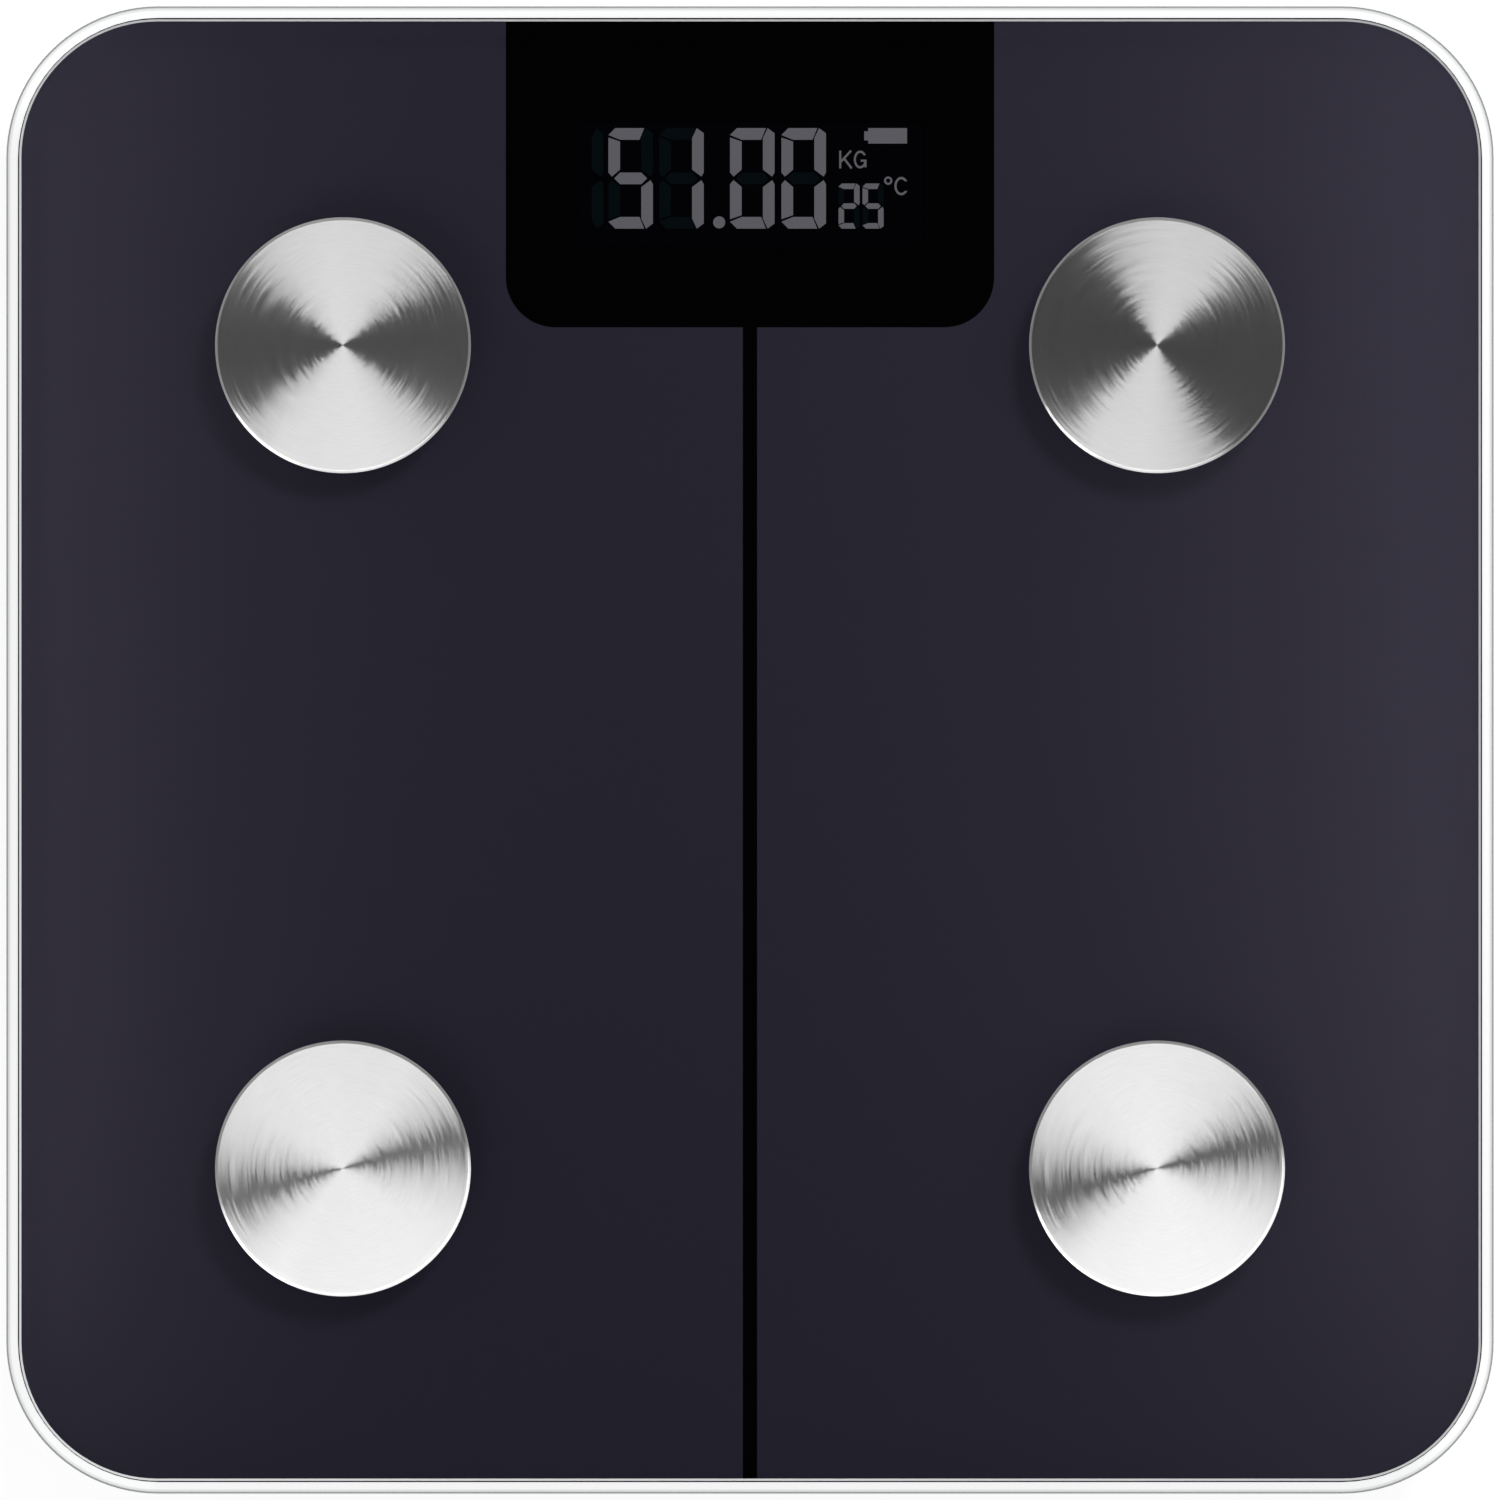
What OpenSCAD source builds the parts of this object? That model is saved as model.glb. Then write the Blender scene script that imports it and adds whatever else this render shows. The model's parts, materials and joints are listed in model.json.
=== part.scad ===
// Digital bathroom scale: a glass top with four steel electrodes over a moulded base,
// which stands on four load-cell feet. Millimetres.
// The origin is on the floor under the middle of the scale. +Z is up, +Y is the display's end.

/* [Glass top] */
// Width and depth of the glass top
glass_size = 260; // [256:2:300]
// Thickness of the tempered glass
glass_thick = 5; // [4:0.5:8]
// Corner radius of the glass, seen from above
glass_corner = 26.5; // [22:0.5:34]
// Width of the polished bevel round the top of the glass
bevel_w = 2.5; // [1.5:0.1:3.5]
// Width of the clear rim outside the printed back
clear_rim = 1.8; // [1:0.1:6]

/* [Electrodes] */
// Diameter of each steel electrode
electrode_d = 44.7; // [36:0.1:50]
// Height of each electrode above the glass
electrode_high = 0.9; // [0.6:0.1:1.5]
// Sideways distance from the middle to each electrode
electrode_x = 71.1; // [68:0.1:74]
// Distance from the middle back to the rear electrodes
electrode_rear = 70.7; // [68:0.1:72]
// Distance from the middle forward to the front electrodes
electrode_front = 73.1; // [70:0.1:74]

/* [Display] */
// Width of the black display window
window_w = 85.5; // [76:0.5:100]
// Depth of the display window, from the rear edge of the print
window_d = 54.2; // [46:0.1:58]
// Radius of the window's two front corners
window_corner = 8.75; // [2:0.25:12]
// Width of the black stripe from the window to the front edge
stripe_w = 2.5; // [1:0.1:6]
// Height of the large digits
digit_h = 17.6; // [14:0.1:18]
// Width of the large digits
digit_w = 7.8; // [6:0.1:8]

/* [Base] */
// Distance that the glass overhangs the base
overhang = 10; // [8:0.5:12]
// Corner radius of the base, seen from above
base_corner = 22; // [16:1:26]
// Wall and floor thickness of the base
wall = 1.8; // [1.6:0.1:2.2]
// Radius of the base's lower edge
lower_edge = 5; // [3:0.5:6]

/* [Feet] */
// Diameter of each foot cup
foot_d = 43.2; // [42:0.1:43.6]
// Diameter of each rubber pad
pad_d = 34; // [26:1:38]
// How far a foot can rise under load
foot_travel = 0.5; // [0.3:0.1:0.8]

/* [Underside] */
// Diameter of the unit button
button_d = 7.6; // [6:0.1:8]
// How far the unit button presses in
button_travel = 0.4; // [0.2:0.1:0.5]
// Opening angle shown for the battery door
door_open = 0; // [0:5:75]

/* [Hidden] */
$fn = 64;

// Heights, from the floor up
pad_low = 0;
cup_low = 1.4;
base_low = 3.2;
base_floor = base_low + wall;
base_top = 17.6;
tape_thick = 0.55;
print_low = base_top + tape_thick;
print_thick = 0.2;
glass_low = print_low + print_thick + 0.05;
glass_top = glass_low + glass_thick;

// Outlines
print_size = glass_size - 2*clear_rim;
print_corner = glass_corner - clear_rim;
base_size = glass_size - 2*overhang;
flange_w = 6;
flange_thick = 1.6;

// Electrodes: left and right, rear then front
ELECTRODES = [
  [-electrode_x, electrode_rear], [electrode_x, electrode_rear],
  [-electrode_x, -electrode_front], [electrode_x, -electrode_front]
];
adhesive_thick = 0.1;
stud_r = 1.5;
stud_low = 15;
tag_low = print_low - 0.45;
tag_thick = 0.4;
barrel_r = 0.8;
barrel_z = 17.3;
barrel_end = 6.4;

// Feet and their pockets
foot_at = base_size/2 - 28;
pocket_r = 22.5;
pocket_wall = 1.8;
pocket_roof = 11.6;
roof_thick = 1.8;
cup_wall = 1.6;
cup_floor = 3.4;
cup_rim = 8;
pad_recess = 0.8;
cell_size = 27;
tongue_gap = 1.1;
cell_low = cup_floor + foot_travel + tongue_gap;
cell_thick = 2;
cell_top = cell_low + cell_thick;
tongue_w = 9;
boss_at = -4;
hook_r = 16.9;
hook_thick = 1.4;
hook_w = 7;
hook_catch = 1.4;
lead_hole_at = 10;

// Display module and board, measured from the rear edge of the base
display_y = base_size/2 - 21;
lcd_w = 66;
lcd_d = 26;
lcd_low = 15.8;
lcd_top = 18;
segment_thick = 0.12;
board_w = 86;
board_front = base_size/2 - 47;
board_rear = base_size/2 - 6;
board_low = 9.6;
board_thick = 1.6;
board_top = board_low + board_thick;
board_posts = [for (x = [-39, 39], y = [84, 110]) [x, y + base_size/2 - 120]];
screw_r = 1;
pin_r = 0.25;
lead_end_y = board_front + 1;

// Seven-segment digits: stroke, gap and corner cut as fractions of a digit's width
stroke_ratio = 0.262;
gap_ratio = 0.04;
cut_ratio = 0.155;
digit_low = display_y - 7.7;
digit_lefts = [-24.8, -15.9, -3.5, 5.5];
digit_values = [5, 1, 0, 0];
half_digit_left = -33.5;
small_w = 3.7;
small_h = 7.9;
small_lefts = [15.5, 19.7];
small_values = [2, 5];
// Segments lit for each number, in the order top, upper right, lower right, bottom,
// lower left, upper left and middle
LIT = [
  [1, 1, 1, 1, 1, 1, 0], [0, 1, 1, 0, 0, 0, 0], [1, 1, 0, 1, 1, 0, 1],
  [1, 1, 1, 1, 0, 0, 1], [0, 1, 1, 0, 0, 1, 1], [1, 0, 1, 1, 0, 1, 1]
];

// Battery bay, door and latch, with y measured from the bay's middle
bay_y = 5;
bay_w = 52;
bay_front = -17.4;
bay_rear = 28;
bay_wall = 1.4;
bay_roof = 16.1;
bay_roof_thick = 1.2;
battery_r = 5.25;
battery_l = 43.5;
nub_r = 1.9;
nub_l = 1;
battery_pitch = 11.2;
battery_z = 10.55;
spring_l = 6.5;
plate_thick = 0.5;
tab_w = 3;
tab_z = [12, 12.5];
door_thick = 1.6;
door_pivot_y = -16.4;
door_pivot_z = base_low + door_thick/2;
door_w = bay_w - 0.8;
door_rear = 21.5;
door_gap = 0.3;
trunnion_r = 0.7;
trunnion_l = 1.2;
latch_w = 13;
latch_thick = 1.2;
latch_high = 9.8;
notch_rear = 26.2;

// Unit button
button_x = -28;
button_y = display_y - 4;
button_gap = 0.3;
flange_r = 5.2;
button_top = base_floor + 1.3;
switch_low = 6.9;
plunger_r = 1.7;
plunger_top = switch_low + 0.6;

// Rating label, blank
label_w = 60;
label_d = 36;
label_y = -72;
label_corner = 2.2;
label_thick = 0.15;
label_recess = 0.3;

// Leads
foot_lead_r = 0.8;
thin_lead_r = 0.55;
socket_z = 13.6;

// ---- Shared shapes ----

// Rectangle with round corners, centred
module rounded_square(w, d, r) {
  square([w - 2*r, d], center = true);
  square([w, d - 2*r], center = true);
  for (x = [-1, 1], y = [-1, 1]) translate([x*(w/2 - r), y*(d/2 - r)]) circle(r);
}

// Carries a profile round a square with round corners. The profile's x = 0 is a corner's axis.
module swept(size, r) {
  for (turn = [0:3]) rotate(90*turn) translate([size/2 - r, size/2 - r, 0]) {
    rotate_extrude(angle = 90) children();
    rotate([90, 0, 0]) linear_extrude(size - 2*r) children();
  }
}

// Puts a piece at a foot. Rear feet are turned round, so that every lead leaves inwards.
module at_foot(side, end) {
  translate([side*foot_at, end*foot_at, 0]) rotate(end > 0 ? 180 : 0) children();
}

module at_every_foot() {
  for (side = [-1, 1], end = [-1, 1]) at_foot(side, end) children();
}

// Rectangle from x0 to x1 and y0 to y1, raised from z0 to z1
module block(x0, x1, y0, y1, z0, z1) {
  translate([x0, y0, z0]) cube([x1 - x0, y1 - y0, z1 - z0]);
}

// Ring or disc raised from z0 to z1
module ring(outer, inner, z0, z1) {
  translate([0, 0, z0]) linear_extrude(z1 - z0) difference() {
    circle(outer);
    if (inner > 0) circle(inner);
  }
}

// A smooth curve through the points of a route, with so many steps between two points
function curve_point(a, b, c, d, t) =
  0.5*(2*b + (c - a)*t + (2*a - 5*b + 4*c - d)*t*t + (3*b - a - 3*c + d)*t*t*t);
function smooth(route, steps) = let (last = len(route) - 1) concat(
  [for (i = [0:last - 1], s = [0:steps - 1])
    curve_point(route[max(i - 1, 0)], route[i], route[i + 1], route[min(i + 2, last)], s/steps)],
  [route[last]]
);

// Directions along and across a path, turning as little as they can
function unit(v) = v/norm(v);
function heading(path, i) = unit(path[min(i + 1, len(path) - 1)] - path[max(i - 1, 0)]);
function squared_to(n, t) = unit(n - (n*t)*t);
function normals(path, i, n) = i == len(path) ? [] :
  let (m = squared_to(n, heading(path, i))) concat([m], normals(path, i + 1, m));

// Round wire along a path
module wire(path, r, sides = 8) {
  across = normals(path, 0, [0.31, 0.87, 0.39]);
  rings = len(path);
  points = [for (i = [0:rings - 1], k = [0:sides - 1])
    path[i] + r*cos(360*k/sides)*across[i]
            + r*sin(360*k/sides)*cross(heading(path, i), across[i])];
  around = [for (i = [0:rings - 2], k = [0:sides - 1])
    let (a = i*sides + k, b = i*sides + (k + 1)%sides)
    each [[a, a + sides, b], [b, a + sides, b + sides]]];
  ends = [[for (k = [0:sides - 1]) k], [for (k = [0:sides - 1]) rings*sides - 1 - k]];
  polyhedron(points, concat(around, ends));
}

// ---- Glass top ----

module window_outline() {
  front = print_size/2 - window_d;
  straight = window_w - 2*window_corner;
  translate([-straight/2, front]) square([straight, window_d]);
  translate([-window_w/2, front + window_corner]) square([window_w, window_d - window_corner]);
  for (side = [-1, 1]) translate([side*straight/2, front + window_corner]) circle(window_corner);
}

module stripe_outline() {
  translate([-stripe_w/2, -print_size/2]) square([stripe_w, print_size - window_d]);
}

module glass_profile() {
  arris = 0.6;
  shoulder_w = 0.4;
  shoulder_drop = 0.65;
  side_drop = 1.3;
  polygon([
    [0, 0], [glass_corner - arris, 0], [glass_corner, arris],
    [glass_corner, glass_thick - side_drop],
    [glass_corner - shoulder_w, glass_thick - shoulder_drop],
    [glass_corner - bevel_w, glass_thick], [0, glass_thick]
  ]);
}

module glass_platform() color([0.8, 0.92, 0.9, 0.45]) {
  stud_hole_r = 2;
  translate([0, 0, glass_low]) difference() {
    union() {
      swept(glass_size, glass_corner) glass_profile();
      linear_extrude(glass_thick) square(glass_size - 2*glass_corner, center = true);
    }
    for (place = ELECTRODES) translate([place.x, place.y, -1])
      cylinder(r = stud_hole_r, h = glass_thick + 2);
  }
}

module back_print() color([0.15, 0.14, 0.19]) {
  print_hole_r = 2.6;
  translate([0, 0, print_low]) linear_extrude(print_thick) difference() {
    rounded_square(print_size, print_size, print_corner);
    window_outline();
    stripe_outline();
    for (place = ELECTRODES) translate(place) circle(print_hole_r);
  }
}

module window_print() color([0.01, 0.01, 0.01]) {
  view_w = 61;
  view_d = 22.4;
  view_corner = 1;
  translate([0, 0, print_low]) linear_extrude(print_thick) difference() {
    window_outline();
    translate([0, display_y]) rounded_square(view_w, view_d, view_corner);
  }
}

module centre_stripe() color([0.01, 0.01, 0.01])
  translate([0, 0, print_low]) linear_extrude(print_thick) stripe_outline();

// ---- Electrodes ----

module electrode(place) color([0.78, 0.78, 0.77]) {
  r = electrode_d/2;
  bevel = 0.45;
  bevel_drop = 0.315;
  stud_tip = 0.2;
  low = glass_top + adhesive_thick;
  high = glass_top + electrode_high;
  translate([place.x, place.y, 0]) rotate_extrude() polygon([
    [0, stud_low], [stud_r - stud_tip, stud_low], [stud_r, stud_low + stud_tip], [stud_r, low],
    [r, low], [r, high - bevel_drop], [r - bevel, high], [0, high]
  ]);
}

module electrode_adhesive() color([0.85, 0.85, 0.8]) {
  outer_r = electrode_d/2 - 1.2;
  inner_r = 3;
  for (place = ELECTRODES) translate([place.x, place.y, 0])
    ring(outer_r, inner_r, glass_top, glass_top + adhesive_thick);
}

// Which way each ring tag points: inwards at the rear, back towards the board at the front
function tag_turn(place) = place.y < 0 ? 90 : place.x < 0 ? 0 : 180;

module electrode_terminals() color([0.85, 0.78, 0.5]) {
  tag_r = 3.2;
  tail_w = 2.2;
  tail_end = 4.6;
  barrel_start = 3.8;
  tag_top = tag_low + tag_thick;
  for (place = ELECTRODES) translate([place.x, place.y, 0]) rotate(tag_turn(place)) {
    difference() {
      union() {
        ring(tag_r, 0, tag_low, tag_top);
        block(0, tail_end, -tail_w/2, tail_w/2, tag_low, tag_top);
      }
      translate([0, 0, tag_low - 1]) cylinder(r = stud_r + 0.1, h = tag_thick + 2);
    }
    translate([barrel_start, 0, barrel_z]) rotate([0, 90, 0])
      cylinder(r = barrel_r, h = barrel_end - barrel_start);
  }
}

module electrode_nuts() color([0.7, 0.7, 0.68]) {
  nut_r = 3.15;
  nut_thick = 2;
  nut_low = tag_low - nut_thick - 0.1;
  for (place = ELECTRODES) translate([place.x, place.y, nut_low]) difference() {
    cylinder(r = nut_r, h = nut_thick, $fn = 6);
    translate([0, 0, -1]) cylinder(r = stud_r + 0.05, h = nut_thick + 2, $fn = 48);
  }
}

// ---- Base ----

module base_profile() {
  high = base_top - base_low;
  difference() {
    union() {
      square([base_corner - lower_edge, high]);
      translate([0, lower_edge]) square([base_corner, high - lower_edge]);
      translate([base_corner - lower_edge, lower_edge]) circle(lower_edge);
    }
    translate([-1, wall]) square([base_corner - lower_edge + 1, high - wall - flange_thick]);
    translate([-1, lower_edge])
      square([base_corner - wall + 1, high - lower_edge - flange_thick]);
    translate([base_corner - lower_edge, lower_edge]) circle(lower_edge - wall);
    translate([-1, wall]) square([base_corner - flange_w + 1, high]);
  }
}

module foot_pocket() {
  above_edge = 0.6;
  ring(pocket_r + pocket_wall, 0, base_low + above_edge, pocket_roof + roof_thick);
}

module foot_pocket_hollow() {
  slot_in = hook_r - 1.3;
  slot_out = hook_r + hook_thick + 0.4;
  slot_half = hook_w/2 + 0.5;
  lead_hole_r = 2.4;
  above_roof = pocket_roof + roof_thick + 1;
  ring(pocket_r, 0, base_low - 1, pocket_roof);
  for (turn = [0:90:270]) rotate(turn)
    block(slot_in, slot_out, -slot_half, slot_half, pocket_roof - 1, above_roof);
  translate([0, lead_hole_at, 0]) ring(lead_hole_r, 0, pocket_roof - 1, above_roof);
}

module stiffening_ribs() {
  rib_top = 12.9;
  rib_half = 0.6;
  lengthwise_x = [-47, 47];
  crosswise_y = [-45, 50];
  // the upper part of each rib meets the wall, and the lower part stops at the rounded edge
  stages = [
    [base_size/2 - lower_edge, base_floor - 1, rib_top],
    [base_size/2 - 1, base_low + lower_edge, rib_top]
  ];
  for (s = stages) {
    for (x = lengthwise_x) block(x - rib_half, x + rib_half, -s[0], s[0], s[1], s[2]);
    for (y = crosswise_y) block(-s[0], s[0], y - rib_half, y + rib_half, s[1], s[2]);
  }
}

module battery_bay() {
  half = bay_w/2 + bay_wall;
  translate([0, bay_y, 0])
    block(-half, half, bay_front - bay_wall, bay_rear + bay_wall,
      base_floor - 1, bay_roof + bay_roof_thick);
}

module battery_bay_hollow() {
  half = bay_w/2;
  partition = [17, 18.2];
  notch_half = latch_w/2 + 0.6;
  scoop_depth = 0.9;
  scoop_rear = notch_rear + 2;
  scoop_run = 6;
  snap_gap = 0.6;
  slot_half = tab_w/2 + 0.2;
  below = base_low - 1;
  translate([0, bay_y, 0]) {
    // opening in the floor, with a notch for the latch
    block(-half, half, bay_front, door_rear + door_gap, below, base_floor + 0.1);
    block(-notch_half, notch_half, door_rear, notch_rear, below, base_floor + 0.1);
    // scoop for a fingertip, beside the notch
    translate([notch_half, 0, 0]) rotate([0, -90, 0]) linear_extrude(2*notch_half)
      polygon([[below, notch_rear - 1], [base_low + scoop_depth, notch_rear - 1],
        [base_low + scoop_depth, scoop_rear], [below, scoop_rear + scoop_run]]);
    // room for the batteries, and room for the latch behind it
    block(-half, half, bay_front, partition[0], base_floor, bay_roof);
    block(-half, half, partition[1], bay_rear, base_floor, bay_roof);
    // sockets for the door's trunnions, open below so that the door clips in
    translate([-half - trunnion_l, door_pivot_y, door_pivot_z]) rotate([0, 90, 0])
      cylinder(r = trunnion_r + 0.06, h = bay_w + 2*trunnion_l);
    block(-half - trunnion_l, half + trunnion_l, door_pivot_y - snap_gap,
      door_pivot_y + snap_gap, below, door_pivot_z);
    // slots for the tabs of the end plates
    for (side = [-1, 1]) translate([side*(half + 0.5), side*battery_pitch, 0])
      block(-1.5, 1.5, -slot_half, slot_half, tab_z[0] - 0.1, tab_z[1] + 0.1);
  }
}

module battery_ridges() {
  ridge_l = 34;
  ridge_w = 0.6;
  ridge_low = battery_z + 1.8;
  for (side = [-1, 1]) translate([0, bay_y + side*battery_pitch/2, 0])
    block(-ridge_l/2, ridge_l/2, -ridge_w/2, ridge_w/2, ridge_low, bay_roof + 0.5);
}

module base_shell() color([0.1, 0.1, 0.11]) {
  middle = base_size - 2*base_corner;
  post_r = 3;
  button_guide_r = 6.4;
  button_guide_top = 6.7;
  label_margin = 1.6;
  label_recess_corner = 3;
  boss_r = 3;
  difference() {
    union() {
      translate([0, 0, base_low]) swept(base_size, base_corner) base_profile();
      translate([0, 0, base_low]) linear_extrude(wall) square(middle, center = true);
      stiffening_ribs();
      at_every_foot() foot_pocket();
      battery_bay();
      for (post = board_posts) translate(post) ring(post_r, 0, base_floor - 1, board_low);
      translate([button_x, button_y, 0])
        ring(button_guide_r, 0, base_floor - 1, button_guide_top);
    }
    at_every_foot() foot_pocket_hollow();
    battery_bay_hollow();
    for (post = board_posts) translate(post) ring(screw_r + 0.05, 0, base_floor + 0.4, board_low + 1);
    translate([button_x, button_y, 0]) {
      ring(button_d/2 + button_gap, 0, base_low - 1, base_floor + 1);
      ring(flange_r + 0.2, 0, base_floor, button_guide_top + 0.3);
    }
    translate([0, label_y, base_low - 1]) linear_extrude(1 + label_recess)
      rounded_square(label_w + label_margin, label_d + label_margin, label_recess_corner);
  }
  // the boss in each pocket that the load cell's tongue bears on
  at_every_foot() translate([0, boss_at, 0]) ring(boss_r, 0, cell_top, pocket_roof + 0.5);
  battery_ridges();
}

module bonding_tape() color([0.9, 0.9, 0.88]) {
  inset = 0.6;
  width = 4.8;
  outer = base_size - 2*inset;
  corner = base_corner - inset;
  translate([0, 0, base_top]) linear_extrude(tape_thick) difference() {
    rounded_square(outer, outer, corner);
    rounded_square(outer - 2*width, outer - 2*width, corner - width);
  }
}

module rating_label() color([0.75, 0.75, 0.76])
  translate([0, label_y, base_low + label_recess - label_thick]) linear_extrude(label_thick)
    rounded_square(label_w, label_d, label_corner);

// ---- Feet ----

module foot_cup() color([0.14, 0.14, 0.15]) {
  r = foot_d/2;
  recess_r = pad_d/2 + 0.1;
  recess_top = cup_low + pad_recess;
  edge = 1;
  rail_w = 2.8;
  rail_l = 22;
  rail_x = 11.5;
  hook_top = pocket_roof + roof_thick + 1.8;
  catch_low = pocket_roof + roof_thick + 0.05;
  catch_thick = 0.4;
  rotate_extrude() polygon([
    [0, recess_top], [recess_r, recess_top], [recess_r, cup_low], [r - edge, cup_low],
    [r, cup_low + edge], [r, cup_rim], [r - cup_wall, cup_rim], [r - cup_wall, cup_floor],
    [0, cup_floor]
  ]);
  // rails under the edges of the load cell
  for (side = [-1, 1]) translate([side*rail_x, 0, 0])
    block(-rail_w/2, rail_w/2, -rail_l/2, rail_l/2, cup_floor - 0.5, cell_low);
  // hooks that hang the cup from the roof of its pocket
  for (turn = [0:90:270]) rotate(turn) translate([hook_r, hook_w/2, 0]) rotate([90, 0, 0])
    linear_extrude(hook_w) polygon([
      [0, cup_floor - 0.5], [hook_thick, cup_floor - 0.5], [hook_thick, catch_low],
      [hook_thick + hook_catch, catch_low], [hook_thick + hook_catch, catch_low + catch_thick],
      [hook_thick - 0.2, hook_top], [0, hook_top]
    ]);
}

module foot_pad() color([0.06, 0.06, 0.06]) {
  pad_top = cup_low + pad_recess;
  edge = 0.4;
  groove_w = 1.4;
  groove_depth = 0.5;
  grooves = [5, 9, 13];
  difference() {
    rotate_extrude() polygon([
      [0, pad_low], [pad_d/2 - edge, pad_low], [pad_d/2, pad_low + edge], [pad_d/2, pad_top],
      [0, pad_top]
    ]);
    for (r = grooves) ring(r + groove_w/2, r - groove_w/2, pad_low - 1, pad_low + groove_depth);
  }
}

module load_cell() color([0.6, 0.6, 0.62]) {
  corner = 4;
  slot = 1.5;
  tongue_front = -8;
  tongue_root = 6;
  hole_at = 10.4;
  hole_r = 1.1;
  translate([0, 0, cell_low]) linear_extrude(cell_thick) difference() {
    rounded_square(cell_size, cell_size, corner);
    for (side = [-1, 1]) translate([side*(tongue_w + slot)/2 - slot/2, tongue_front - slot])
      square([slot, tongue_root - tongue_front + slot]);
    translate([-tongue_w/2 - slot, tongue_front - slot]) square([tongue_w + 2*slot, slot]);
    for (x = [-hole_at, hole_at], y = [-hole_at, hole_at]) translate([x, y]) circle(hole_r);
  }
}

module strain_gauge() color([0.9, 0.88, 0.8]) {
  coat_w = 7;
  coat_d = 6;
  coat_corner = 1.6;
  coat_high = 0.8;
  gauge_at = 3.4;
  translate([0, gauge_at, cell_top]) linear_extrude(coat_high)
    rounded_square(coat_w, coat_d, coat_corner);
}

// ---- Board and display ----

module main_board() color([0.05, 0.3, 0.16]) {
  middle = (board_front + board_rear)/2;
  corner = 1.5;
  screw_hole_r = 1.3;
  translate([0, 0, board_low]) linear_extrude(board_thick) difference() {
    translate([0, middle]) rounded_square(board_w, board_rear - board_front, corner);
    for (post = board_posts) translate(post) circle(screw_hole_r);
  }
}

module board_components() {
  blob_r = 6.5;
  blob_high = 1.8;
  crystal = [4.4, 10, 2.4];
  capacitor_r = 2.5;
  capacitor_high = 4.6;
  part_x = 10.5;
  // processor under its epoxy blob, hanging below the board
  color([0.05, 0.05, 0.05]) translate([0, display_y - 2, 0]) {
    ring(blob_r, 0, board_low - blob_high*2/3, board_low);
    ring(blob_r - 1.5, 0, board_low - blob_high, board_low - 1);
  }
  // crystal and capacitors
  color([0.75, 0.75, 0.77]) translate([part_x, display_y - 3, board_low - crystal.z])
    linear_extrude(crystal.z) rounded_square(crystal.x, crystal.y, 2);
  color([0.2, 0.2, 0.35]) for (side = [-1, 1])
    translate([side*part_x, board_front + 6.5, 0])
      ring(capacitor_r, 0, board_top, board_top + capacitor_high);
}

module radio_module() color([0.1, 0.35, 0.5]) {
  card = [14, 18, 0.8];
  can = [11.2, 11, 2.2];
  can_y = -2.5;
  translate([24, display_y - 3, 0]) {
    block(-card.x/2, card.x/2, -card.y/2, card.y/2, board_low - card.z, board_low);
    block(-can.x/2, can.x/2, can_y - can.y/2, can_y + can.y/2, board_low - can.z, board_low - 0.7);
  }
}

module thermistor() color([0.15, 0.12, 0.1]) {
  bead_r = 1.5;
  bead_z = 2.6;
  leg_x = 0.7;
  translate([37, board_front + 13, board_top]) {
    translate([0, 0, bead_z]) sphere(bead_r);
    for (side = [-1, 1]) translate([side*leg_x, 0, 0]) cylinder(r = pin_r, h = 2, $fn = 24);
  }
}

// Sockets along the front of the board, each given as its middle and its width
module lead_sockets() color([0.93, 0.92, 0.88]) {
  sockets = [[-35, 5.6], [-27, 5.6], [-18, 6], [0, 8], [18, 6], [27, 5.6], [35, 5.6]];
  socket_d = 5.5;
  socket_high = 4.4;
  for (s = sockets) translate([s[0], lead_end_y, board_top])
    block(-s[1]/2, s[1]/2, 0, socket_d, 0, socket_high);
}

module board_screws() color([0.7, 0.7, 0.7]) {
  head_r = 2.1;
  head_high = 1.3;
  cross_w = 0.5;
  cross_l = 3;
  cross_low = board_top + 0.7;
  cross_top = board_top + 2;
  shank = 5.6;
  for (post = board_posts) translate([post.x, post.y, 0]) difference() {
    union() {
      ring(screw_r, 0, board_top - shank, board_top);
      ring(head_r, 0, board_top, board_top + head_high);
    }
    for (turn = [0, 90]) rotate(turn)
      block(-cross_l/2, cross_l/2, -cross_w/2, cross_w/2, cross_low, cross_top);
  }
}

module tact_switch() color([0.08, 0.08, 0.09]) {
  half = 3;
  recess_top = plunger_top + button_travel + 0.2;
  translate([button_x, button_y, 0]) difference() {
    block(-half, half, -half, half, switch_low, board_low);
    ring(plunger_r + 0.1, 0, switch_low - 1, recess_top);
  }
}

module lcd_panel() color([0.02, 0.02, 0.025])
  translate([0, display_y, lcd_low]) linear_extrude(lcd_top - lcd_low)
    square([lcd_w, lcd_d], center = true);

module backlight_panel() color([0.95, 0.95, 0.97]) {
  panel_w = 62;
  panel_d = 22;
  translate([0, display_y, 0])
    block(-panel_w/2, panel_w/2, -panel_d/2, panel_d/2, board_top + 1, lcd_low - 0.1);
}

module lcd_pins() color([0.8, 0.8, 0.78]) {
  row_half = 28;
  pitch = 4;
  row_y = lcd_d/2 - 1;
  for (x = [-row_half:pitch:row_half], side = [-1, 1])
    translate([x, display_y + side*row_y, board_top])
      cylinder(r = pin_r, h = lcd_low - board_top, $fn = 24);
}

module display_frame() color([0.08, 0.08, 0.08]) {
  frame_w = lcd_w + 3;
  frame_d = lcd_d + 2.8;
  frame_high = 6.6;
  corner = 1.2;
  fit = 0.3;
  translate([0, display_y, board_top]) linear_extrude(frame_high) difference() {
    rounded_square(frame_w, frame_d, corner);
    square([lcd_w + fit, lcd_d + fit], center = true);
  }
}

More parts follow.
